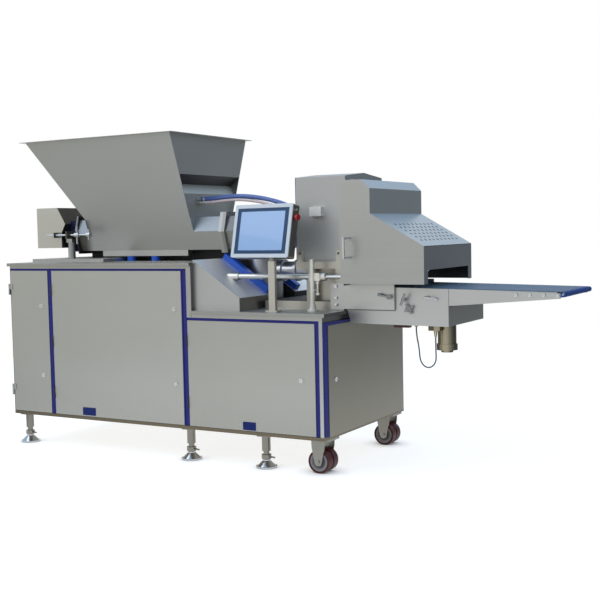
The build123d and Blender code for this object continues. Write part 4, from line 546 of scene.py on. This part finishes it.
def conveyor_side_material():
    """Conveyor sides and arms: blue nose plates, painted shade on the end plate, a painted shade line below
    the arms.
    """
    steel = brushed_steel("side_steel", dark=(0.57, 0.57, 0.56), light=(0.68, 0.68, 0.665), rough=0.34,
                          spread=0.08, relief=0.12)
    nose = span(steel, ALONG_X, CONVEYOR_END - NOSE_PLATE, FAR)
    finish_and_painted_light(steel, nose, dark=(0.02, 0.08, 0.3), light=(0.03, 0.12, 0.42), rough=0.4, metallic=0.0)
    end_plate_shade = outlook(steel, END_PLATE, *TURNED)
    finish_and_painted_light(steel, end_plate_shade, dark=(0.3, 0.3, 0.285), light=(0.38, 0.38, 0.36), rough=0.4)
    shade = shared(steel, span(steel, ALONG_Z, ARMS_LOW[2] - ARM_SHADE, ARMS_LOW[2] - ARM_PLAY),
                   span(steel, ALONG_X, ARMS_LOW[0], ARMS_HIGH[0] + 2 * EDGE))
    finish_and_painted_light(steel, shade, dark=(0.16, 0.155, 0.145), light=(0.22, 0.215, 0.2), rough=0.45)
    return steel


def motor_material():
    """Belt gearmotor: dark red terminal box, painted shade on the collar and towards both sides of the round
    housing.
    """
    steel = brushed_steel("motor_steel", dark=(0.4, 0.345, 0.23), light=(0.53, 0.465, 0.33), rough=0.3,
                          spread=0.08)
    terminals = span(steel, ALONG_X, -FAR, TERMINALS_END)
    finish_and_painted_light(steel, terminals, dark=(0.06, 0.012, 0.01), light=(0.1, 0.02, 0.016), rough=0.5, metallic=0.0)
    collar_shade = span(steel, ALONG_X, *MOTOR_COLLAR_X)
    finish_and_painted_light(steel, collar_shade, dark=(0.1, 0.085, 0.06), light=(0.16, 0.135, 0.1), rough=0.45)
    for side in (-1, 1):
        flank_shade = outlook(steel, (side, 0, 0), low=0.55, high=1.0)
        finish_and_painted_light(steel, flank_shade, dark=(0.1, 0.085, 0.06), light=(0.15, 0.13, 0.095), rough=0.35)
    return steel


side_steel = conveyor_side_material()
motor_steel = motor_material()

# Machined and bought pieces: rods, locks, levers, drum, feet and casters
MACHINED = {"dark": (0.54, 0.54, 0.53), "light": (0.68, 0.68, 0.67), "rough": 0.28, "spread": 0.08,
            "fineness": 2.0, "relief": 0.25}
POSTS_Y = edges("push_rods")[1][1] + 0.002


def rod_tube_material():
    """Push rod tubes, with pale posts outside the rods."""
    steel = brushed_steel("rod_steel", **MACHINED)
    for side in (-1, 1):
        posts = span(steel, (0, side, 0), POSTS_Y, FAR)
        finish_and_painted_light(steel, posts, dark=(0.8, 0.76, 0.67), light=(0.9, 0.86, 0.77), rough=0.55)
    return steel


machined_steel = brushed_steel("machined_steel", **MACHINED)
rod_steel = rod_tube_material()
lock_steel = brushed_steel("lock_steel", dark=(0.74, 0.74, 0.72), light=(0.86, 0.86, 0.84), rough=0.24,
                           fineness=2.0, relief=0.25)
lever_steel = brushed_steel("lever_steel", dark=(0.24, 0.24, 0.235), light=(0.38, 0.38, 0.37), rough=0.34,
                            spread=0.1, fineness=2.0, relief=0.25)
# Drum steel, darker than the machined steel: painted shade for the dark inside of the guard
drum_steel = brushed_steel("drum_steel", dark=(0.3, 0.3, 0.29), light=(0.42, 0.42, 0.41), rough=0.32,
                           spread=0.08, fineness=2.0, relief=0.25)
sleeve_steel = brushed_steel("sleeve_steel", dark=(0.2, 0.185, 0.155), light=(0.28, 0.262, 0.225), rough=0.26,
                             spread=0.05, fineness=2.0)
foot_steel = brushed_steel("foot_steel", dark=(0.42, 0.43, 0.45), light=(0.54, 0.55, 0.57), rough=0.17,
                           spread=0.04, fineness=2.0)
fork_steel = brushed_steel("fork_steel", dark=(0.24, 0.23, 0.2), light=(0.32, 0.305, 0.27), rough=0.38,
                           fineness=2.0)

# Moulded and painted pieces
ROUGH_SPREAD = 0.08
SPECKLE_DEPTH = 0.0002


def speckled(name, dark, light, rough, scale, coat=0.0, gloss=0.5):
    """Moulded or painted surface: fine noise in colour, roughness and bump."""
    material, tree, shader, coordinate = new_material(name)
    fine = stretched_noise(tree, coordinate, (scale, scale, scale), detail=4)
    slow = stretched_noise(tree, coordinate, (4, 4, 4))
    mixed = blend_values(tree, 0.5, fine, slow)
    feed(tree, shader.inputs["Base Color"], blend_colours(tree, mixed, dark, light))
    roughness = blend_values(tree, mixed, rough - ROUGH_SPREAD, rough + ROUGH_SPREAD)
    feed(tree, shader.inputs["Roughness"], roughness)
    shader.inputs["Coat Weight"].default_value = coat
    shader.inputs["Specular IOR Level"].default_value = gloss
    bump(tree, shader, fine, SPECKLE_DEPTH, strength=0.35)
    return material


motor_grey = speckled("motor_grey", (0.2, 0.21, 0.22), (0.28, 0.29, 0.3), rough=0.45, scale=90)
control_grey = speckled("control_grey", (0.4, 0.41, 0.42), (0.52, 0.53, 0.54), rough=0.5, scale=60)
seal_rubber = speckled("seal_rubber", (0.02, 0.02, 0.16), (0.04, 0.04, 0.25), rough=0.5, scale=220, gloss=0.2)
support_blue = speckled("support_blue", (0.005, 0.07, 0.46), (0.02, 0.12, 0.62), rough=0.4, scale=80)
cable_grey = speckled("cable_grey", (0.08, 0.075, 0.065), (0.14, 0.13, 0.115), rough=0.5, scale=300)
hose_blue = speckled("hose_blue", (0.07, 0.12, 0.38), (0.14, 0.22, 0.5), rough=0.22, scale=200)
hose_clear = speckled("hose_clear", (0.62, 0.46, 0.46), (0.8, 0.68, 0.67), rough=0.25, scale=200)
bezel_navy = speckled("bezel_navy", (0.014, 0.05, 0.125), (0.02, 0.065, 0.155), rough=0.3, scale=60,
                      gloss=0.25)
display_blue = speckled("display_blue", (0.28, 0.44, 0.72), (0.32, 0.49, 0.77), rough=0.16, scale=3, coat=0.4)
stop_red = speckled("stop_red", (0.34, 0.01, 0.012), (0.48, 0.02, 0.024), rough=0.3, scale=80)
plate_blue = speckled("plate_blue", (0.01, 0.02, 0.13), (0.02, 0.035, 0.17), rough=0.5, scale=90, gloss=0.15)

# Screen: turned a little to the infeed side and tipped back
SCREEN_AT = (1721, 60, 1237)
SCREEN_YAW, SCREEN_TILT = math.radians(8.3), math.radians(11.5)
SCREEN_RIGHT = np.array((math.cos(SCREEN_YAW), -math.sin(SCREEN_YAW), 0))
SCREEN_OUT = np.array((-math.sin(SCREEN_YAW) * math.cos(SCREEN_TILT),
                       -math.cos(SCREEN_YAW) * math.cos(SCREEN_TILT), math.sin(SCREEN_TILT)))
SCREEN_FRONT = float(place(*SCREEN_AT) @ SCREEN_OUT)
SCREEN_RIM = 0.006


def screen_case_material():
    """Screen housing: brownish steel, darker than the other stainless by painted shade, with a pale front
    rim.
    """
    steel = brushed_steel("screen_case", dark=(0.3, 0.285, 0.24), light=(0.4, 0.38, 0.325), rough=0.38)
    rim = span(steel, tuple(SCREEN_OUT), SCREEN_FRONT - SCREEN_RIM, FAR)
    finish_and_painted_light(steel, rim, dark=(0.6, 0.64, 0.68), light=(0.7, 0.73, 0.76), rough=0.35, metallic=0.0)
    return steel


screen_case = screen_case_material()

# Belt
WEAVE = 900
WEAVE_DEPTH = 0.0002
BELT_NOSE_X = edges("conveyor_belt")[1][0] - 0.0235


def belt_material():
    """Belt cover: fine square weave in grey-blue, deeper blue round the nose."""
    material, tree, shader, coordinate = new_material("belt_cover")
    lengthways = along(tree, coordinate, ALONG_X)
    across = along(tree, coordinate, ALONG_Y)
    threads = [math_node(tree, "SINE", math_node(tree, "MULTIPLY", way, WEAVE))
               for way in (lengthways, across)]
    slow = stretched_noise(tree, coordinate, (2, 9, 9), detail=3)
    top = blend_colours(tree, slow, (0.09, 0.135, 0.19), (0.13, 0.185, 0.25))
    nose = math_node(tree, "GREATER_THAN", lengthways, BELT_NOSE_X)
    feed(tree, shader.inputs["Base Color"], blend_colours(tree, nose, top, (0.008, 0.05, 0.22)))
    feed(tree, shader.inputs["Roughness"], blend_values(tree, slow, 0.5, 0.7))
    shader.inputs["Specular IOR Level"].default_value = 0.15
    bump(tree, shader, math_node(tree, "MULTIPLY", *threads), WEAVE_DEPTH, strength=0.3)
    return material


# Caster wheels
HUB_RADIUS, RIM_RADIUS = 0.035, 0.049
WHEEL_GRAIN = 0.0003


def wheel_material(name, wheels):
    """Wheel: grey hub, pale rim ring and dark red tread, told apart by distance from the axle."""
    material, tree, shader, coordinate = new_material(name)
    axle = sum(edges(wheels)) / 2
    away = vector_node(tree, "SUBTRACT", coordinate, tuple(axle))["Vector"]
    flat = vector_node(tree, "MULTIPLY", away, (1, 0, 1))["Vector"]
    reach = vector_node(tree, "LENGTH", flat)["Value"]
    fine = stretched_noise(tree, coordinate, (180, 180, 180), detail=3)
    hub = blend_colours(tree, fine, (0.09, 0.09, 0.085), (0.15, 0.15, 0.14))
    ring = blend_colours(tree, fine, (0.27, 0.24, 0.24), (0.36, 0.33, 0.33))
    tread = blend_colours(tree, fine, (0.07, 0.012, 0.012), (0.13, 0.026, 0.025))
    inner = blend_colours(tree, ramp(tree, reach, HUB_RADIUS - EDGE, HUB_RADIUS + EDGE), hub, ring)
    outer = blend_colours(tree, ramp(tree, reach, RIM_RADIUS - EDGE, RIM_RADIUS + EDGE), inner, tread)
    feed(tree, shader.inputs["Base Color"], outer)
    feed(tree, shader.inputs["Roughness"], blend_values(tree, fine, 0.35, 0.55))
    shader.inputs["Specular IOR Level"].default_value = 0.3
    bump(tree, shader, fine, WHEEL_GRAIN, strength=0.3)
    return material


belt_cover = belt_material()
front_wheel = wheel_material("front_wheel", "front_caster_wheels")
back_wheel = wheel_material("back_wheel", "back_caster_wheels")

# Finish of every node
finishes = {
    satin_panel: ("narrow_door", "wide_door"),
    satin_low: ("low_door",),
    satin_body: ("cabinet_panels",),
    deck_steel: ("decks",),
    satin_end: ("end_panel",),
    satin_frame: ("base_frame",),
    base_steel: ("hopper_base",),
    post_steel: ("screen_post",),
    frame_steel: ("head_frame",),
    rod_steel: ("push_rod_tubes",),
    inlet_steel: ("inlet_housing",),
    cover_steel: ("sloped_covers",),
    hopper_steel: ("hopper_walls",),
    guard_steel: ("drum_guard",),
    hood_steel: ("drive_hood",),
    trough_steel: ("auger_trough",),
    tower_steel: ("head_cover",),
    side_steel: ("conveyor_frame", "conveyor_arms"),
    sleeve_steel: ("foot_sleeves",),
    foot_steel: ("levelling_feet",),
    fork_steel: ("caster_forks",),
    machined_steel: ("push_rods", "clamp_rod", "auger_front", "auger_back", "pump_rotor",
                     "drive_roller", "tail_roller", "nose_roller", "wing_screw"),
    lock_steel: ("narrow_lock_upper", "narrow_lock_lower", "wide_lock_upper", "wide_lock_lower", "low_lock",
                 "end_lock"),
    lever_steel: ("arm_lever", "tension_lever", "tee_lever"),
    drum_steel: ("forming_drum",),
    cast_steel: ("pump_body",),
    motor_steel: ("belt_gearmotor",),
    motor_grey: ("auger_gearmotor", "pump_gearmotor", "drum_gearmotor"),
    control_grey: ("control_plate",),
    seal_rubber: ("door_seals",),
    support_blue: ("blue_supports",),
    belt_cover: ("conveyor_belt",),
    screen_case: ("screen_housing",),
    bezel_navy: ("screen_panel",),
    stop_red: ("stop_button",),
    front_wheel: ("front_caster_wheels",),
    back_wheel: ("back_caster_wheels",),
    cable_grey: ("motor_cable",),
    hose_blue: ("air_hose_upper", "air_hose_lower"),
    hose_clear: ("water_hose",),
}
for finish, names in finishes.items():
    for name in names:
        mesh = nodes[name].data
        mesh.materials.clear()
        mesh.materials.append(finish)


# Cable and hoses: each route's points are the control points of one smooth spline
def flexible(name, route, diameter, finish):
    """Round cord along a NURBS spline with the route's points as control points."""
    curve = bpy.data.curves.new(name, "CURVE")
    curve.dimensions = "3D"
    curve.bevel_depth = diameter / 2
    curve.bevel_resolution = 5
    curve.resolution_u = 10
    curve.use_fill_caps = True
    spline = curve.splines.new("NURBS")
    spline.points.add(len(route) - 1)
    points = np.column_stack((np.array([place(*point) for point in route]), np.ones(len(route))))
    spline.points.foreach_set("co", points.ravel())
    spline.order_u = 3
    spline.use_endpoint_u = True
    cord = bpy.data.objects.new(name + "_line", curve)
    bpy.context.collection.objects.link(cord)
    curve.materials.append(finish)
    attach(cord, "machine")
    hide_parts(name)


CABLE_Y = 266
CABLE, CABLE_LENGTH = 0.007, 0.405
cable_route = [(2490, CABLE_Y, 745), (2490, CABLE_Y, 705), (2504, CABLE_Y, 640), (2509, CABLE_Y, 565),
               (2552, CABLE_Y, 534), (2595, CABLE_Y, 565), (2593, CABLE_Y, 634), (2593, CABLE_Y, 697)]
flexible("motor_cable", cable_route, CABLE, cable_grey)

HOSE_START_X, HOSE_END_X = 1121, 1794
HOSE_LEAD, HOSE_TAIL = 70, 75
HOSE_SHARES = (0.27, 0.43, 0.59, 0.75)
AIR_HOSE, WATER_HOSE = 0.024, 0.016
# Start and end as (y, z), rises above the start on the way, diameter, finish and slot
hoses = {
    "air_hose_upper": ((394, 1425), (400, 1350), (8, 8, -6, -32), AIR_HOSE, hose_blue, "hose_blue"),
    "air_hose_lower": ((432, 1421), (438, 1346), (8, 8, -6, -32), AIR_HOSE, hose_blue, "hose_blue"),
    "water_hose": ((382, 1403), (388, 1327), (9, 9, -7, -34), WATER_HOSE, hose_clear, "hose_clear"),
}


def hose_route(start, end, rises):
    """Hose from the hopper's end wall to the head cover, straight out of both fittings."""
    route = [(HOSE_START_X, *start), (HOSE_START_X + HOSE_LEAD, *start)]
    for share, rise in zip(HOSE_SHARES, rises):
        route.append((HOSE_START_X + share * (HOSE_END_X - HOSE_START_X),
                      start[0] + share * (end[0] - start[0]), start[1] + rise))
    return route + [(HOSE_END_X - HOSE_TAIL, *end), (HOSE_END_X, *end)]


for name, (start, end, rises, diameter, finish, slot) in hoses.items():
    flexible(name, hose_route(start, end, rises), diameter, finish)

# Pieces worked out on grids
WELD = 1e-6


def grid_piece(name, grids, body, finish):
    """Mesh from one or more grids of points, shaped rows by columns by 3, welded and turned outwards."""
    points = []
    faces = []
    offset = 0
    for grid in grids:
        rows, columns = grid.shape[:2]
        index = np.arange(rows * columns).reshape(rows, columns) + offset
        quads = np.stack((index[:-1, :-1], index[:-1, 1:], index[1:, 1:], index[1:, :-1]), axis=-1)
        points.append(grid.reshape(-1, 3))
        faces.append(quads.reshape(-1, 4))
        offset += rows * columns
    mesh = bpy.data.meshes.new(name)
    mesh.from_pydata(np.concatenate(points).tolist(), [], np.concatenate(faces).tolist())
    shape = bmesh.new()
    shape.from_mesh(mesh)
    bmesh.ops.remove_doubles(shape, verts=shape.verts, dist=WELD)
    bmesh.ops.dissolve_degenerate(shape, dist=WELD / 10, edges=shape.edges)
    bmesh.ops.recalc_face_normals(shape, faces=shape.faces)
    shape.to_mesh(mesh)
    shape.free()
    mesh.shade_flat()
    mesh.materials.append(finish)
    piece = bpy.data.objects.new(name, mesh)
    bpy.context.collection.objects.link(piece)
    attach(piece, body)


def turned(profile, corners=0, steps=24):
    """Profile of (radius, height) carried round +Z; with corners, the radius follows a regular polygon."""
    angle = np.linspace(0, 2 * np.pi, steps + 1)
    stretch = np.ones_like(angle)
    if corners:
        wedge = 2 * np.pi / corners
        stretch = np.cos(wedge / 2) / np.cos(angle % wedge - wedge / 2)
    radius, height = np.array(profile).T
    rings = radius[:, None] * stretch[None, :]
    return np.stack((rings * np.cos(angle), rings * np.sin(angle),
                     np.broadcast_to(height[:, None], rings.shape)), axis=-1)


def set_at(unit, origin, axis):
    """A shape drawn about +Z moved to an origin in millimetres with +Z turned to a level axis."""
    side = np.cross(ALONG_Z, axis)
    basis = np.stack((side, np.cross(axis, side), axis))
    return unit * MM @ basis + place(*origin)


# Bolt heads on the conveyor sides and arms
BOLT_RADIUS, BOLT_HEIGHT = 9.5, 7
ARM_BOLTS_X, ARM_BOLTS_Y, ARM_BOLTS_Z = 2064, 218, (851, 886, 944)
NOSE_BOLTS_X, NOSE_BOLTS_Y, NOSE_BOLTS_Z = 3210, 236, 911
NOSE_BOLTS, NOSE_BOLT_STEP = 4, 66
CABINET_WIDTH = 970


def hex_head(radius, height):
    """Hexagon head with a chamfered top and a narrower foot."""
    return turned([(0, height), (0.84 * radius, height), (radius, 0.8 * height), (radius, 0.12 * height),
                   (0.95 * radius, 0), (0, 0)], corners=6)


def mirrored(origins):
    """Origins and their mirror images across the machine's centre plane, with the side as -1 or 1."""
    return [(point, -1) for point in origins] + [((x, CABINET_WIDTH - y, z), 1) for x, y, z in origins]


bolts = [(ARM_BOLTS_X, ARM_BOLTS_Y, z) for z in ARM_BOLTS_Z]
bolts += [(NOSE_BOLTS_X - NOSE_BOLT_STEP * index, NOSE_BOLTS_Y, NOSE_BOLTS_Z) for index in range(NOSE_BOLTS)]
bolt_head = hex_head(BOLT_RADIUS, BOLT_HEIGHT)
grid_piece("side_bolts", [set_at(bolt_head, at, (0, side, 0)) for at, side in mirrored(bolts)],
           "machine", lock_steel)

# Hose collars at the hopper's end wall
COLLAR_X = HOSE_START_X + 16
COLLAR_LENGTH = 14
COLLAR_WALL = {AIR_HOSE: 2.8, WATER_HOSE: 2}
COLLAR_PLAY = 0.05
COLLAR_GROOVE = 1


def collar(diameter):
    """Round ring about a hose: two raised bands with a groove between them."""
    bore = diameter / MM / 2 + COLLAR_PLAY
    outer = bore + COLLAR_WALL[diameter]
    bottom = outer - COLLAR_GROOVE
    profile = [(bore, 0), (outer, 0), (outer, 0.4), (bottom, 0.45), (bottom, 0.55), (outer, 0.6), (outer, 1),
               (bore, 1), (bore, 0)]
    return turned(np.array(profile) * (1, COLLAR_LENGTH))


collars = [set_at(collar(diameter), (COLLAR_X, *start), ALONG_X)
           for start, _, _, diameter, _, _ in hoses.values()]
grid_piece("hose_collars", collars, "machine", lock_steel)

# Display sheet just proud of the bezel
SHEET_STEPS, SHEET_STRAIGHT, SHEET_POWER = 96, 1.6, 0.6


def on_screen(across, up, out):
    """Points in the screen's own plane, in millimetres, carried to the model's frame."""
    top = np.cross(SCREEN_OUT, SCREEN_RIGHT)
    flat = across[..., None] * SCREEN_RIGHT + up[..., None] * top + out[..., None] * SCREEN_OUT
    return flat * MM + place(*SCREEN_AT)


def rounded_side(wave, size, corner):
    """One coordinate of a rounded rectangle: clipped wave for the straights, a power of it for corners."""
    straight = np.clip(wave * SHEET_STRAIGHT, -1, 1) * (size / 2 - corner)
    return straight + corner * np.sign(wave) * np.abs(wave) ** SHEET_POWER


def rounded_sheet(width, height, corner, front, back, field):
    """Thin rounded rectangle: its outline at the back, in front, shrunk to a field and to the middle."""
    angle = np.linspace(0, 2 * np.pi, SHEET_STEPS + 1)
    share = np.array((1, 1, field, 0))[:, None]
    depth = np.array((back, front, front, front))[:, None]
    across = share * rounded_side(np.cos(angle), width, corner)
    up = share * rounded_side(np.sin(angle), height, corner)
    return across, up, np.broadcast_to(depth, across.shape)


display = rounded_sheet(width=294, height=204, corner=4, front=-0.6, back=-1.0, field=0.999)
grid_piece("display_sheet", [on_screen(*display)], "screen", display_blue)

# Bare blue plates on the two doors
for name, body, x0, x1, z0, z1 in (("wide_door_plate", "wide_door", 531, 626, 206, 251),
                                   ("low_door_plate", "low_door", 1620, 1699, 204, 247)):
    across, up, out = rounded_sheet(x1 - x0, z1 - z0, corner=3, front=1.2, back=0, field=0.97)
    middle = place((x0 + x1) / 2, 0, (z0 + z1) / 2)
    grid_piece(name, [np.stack((across, -out, up), axis=-1) * MM + middle], body, plate_blue)

# Floor, light and surroundings
FLOOR_RADIUS, FLOOR_STEPS = 5.5, 64
FLOOR_GLOW = 0.75
CONTACT_REACH = 0.1
BAND_LEFT, BAND_RIGHT = (0.714, 0.765, 0), (-1.022, -0.227, 0)
VIEW_LEVEL = (-0.496, 0.868, 0)


def floor_material():
    """Diffuse floor that also glows where it is seen, with a painted shadow in the glow close to what stands
    on it.
    """
    material = bpy.data.materials.new("floor_white")
    material.use_nodes = True
    tree = material.node_tree
    tree.nodes.clear()
    coordinate = tree.nodes.new("ShaderNodeTexCoord").outputs["Object"]
    left = ramp(tree, along(tree, coordinate, BAND_LEFT), low=-2.5, high=-1.8)
    right = ramp(tree, along(tree, coordinate, BAND_RIGHT), low=-2.7, high=-2.0)
    band = math_node(tree, "MULTIPLY", left, right)
    diffuse = tree.nodes.new("ShaderNodeBsdfDiffuse")
    feed(tree, diffuse.inputs["Color"], blend_colours(tree, band, (0.66, 0.61, 0.54), (0.46, 0.457, 0.45)))
    path = tree.nodes.new("ShaderNodeLightPath").outputs
    seen = math_node(tree, "MAXIMUM", path["Is Camera Ray"], path["Is Glossy Ray"])
    seen = math_node(tree, "MAXIMUM", seen, path["Is Transmission Ray"])
    contact = tree.nodes.new("ShaderNodeAmbientOcclusion")
    contact.inputs["Distance"].default_value = CONTACT_REACH
    shown = math_node(tree, "MULTIPLY", math_node(tree, "MULTIPLY", band, seen), contact.outputs["AO"])
    glow = tree.nodes.new("ShaderNodeEmission")
    feed(tree, glow.inputs["Strength"], math_node(tree, "MULTIPLY", shown, FLOOR_GLOW))
    both = tree.nodes.new("ShaderNodeAddShader")
    out = tree.nodes.new("ShaderNodeOutputMaterial")
    feed(tree, both.inputs[0], diffuse.outputs["BSDF"])
    feed(tree, both.inputs[1], glow.outputs["Emission"])
    feed(tree, out.inputs["Surface"], both.outputs["Shader"])
    return material


def floor_sheet():
    """Round pale floor: white in a broad band through the machine, pale grey to both sides of it."""
    angle = np.linspace(0, 2 * np.pi, FLOOR_STEPS + 1)[:-1]
    rim = FLOOR_RADIUS * np.stack((np.cos(angle), np.sin(angle), np.zeros_like(angle)), axis=-1)
    data = bpy.data.meshes.new("floor")
    data.from_pydata(rim.tolist(), [], [list(range(FLOOR_STEPS))])
    data.materials.append(floor_material())
    floor = bpy.data.objects.new("floor", data)
    bpy.context.collection.objects.link(floor)


def surroundings():
    """White backdrop behind the machine, grey room in front, darker outfeed side, pale blue roof light."""
    world = bpy.data.worlds.new("studio")
    bpy.context.scene.world = world
    world.use_nodes = True
    tree = world.node_tree
    sky = tree.nodes["Background"]
    direction = tree.nodes.new("ShaderNodeTexCoord").outputs["Generated"]
    behind = ramp(tree, along(tree, direction, VIEW_LEVEL), low=0.84, high=0.925)
    overhead = ramp(tree, along(tree, direction, ALONG_Z), low=0.05, high=0.7)
    outfeed = ramp(tree, along(tree, direction, ALONG_X), low=-0.3, high=0.6)
    level = blend_colours(tree, outfeed, (0.61, 0.6, 0.565), (0.16, 0.175, 0.19))
    roof = blend_colours(tree, overhead, level, (0.59, 0.78, 1.02))
    feed(tree, sky.inputs["Color"], blend_colours(tree, behind, roof, (1, 1, 1)))
    sky.inputs["Strength"].default_value = 1.0


def lamp(name, at, aim, size, power):
    """Square area lamp turned to a point."""
    data = bpy.data.lights.new(name, "AREA")
    data.size = size
    data.energy = power
    holder = bpy.data.objects.new(name, data)
    bpy.context.collection.objects.link(holder)
    holder.location = at
    holder.rotation_euler = (Vector(aim) - Vector(at)).to_track_quat("-Z", "Y").to_euler()


floor_sheet()
surroundings()
lamp("key_lamp", at=(-3.2, -4.2, 5.2), aim=(0, 0, 0.8), size=5.0, power=130)
lamp("fill_lamp", at=(3.5, -5.0, 3.0), aim=(0.6, 0, 0.9), size=3.0, power=25)
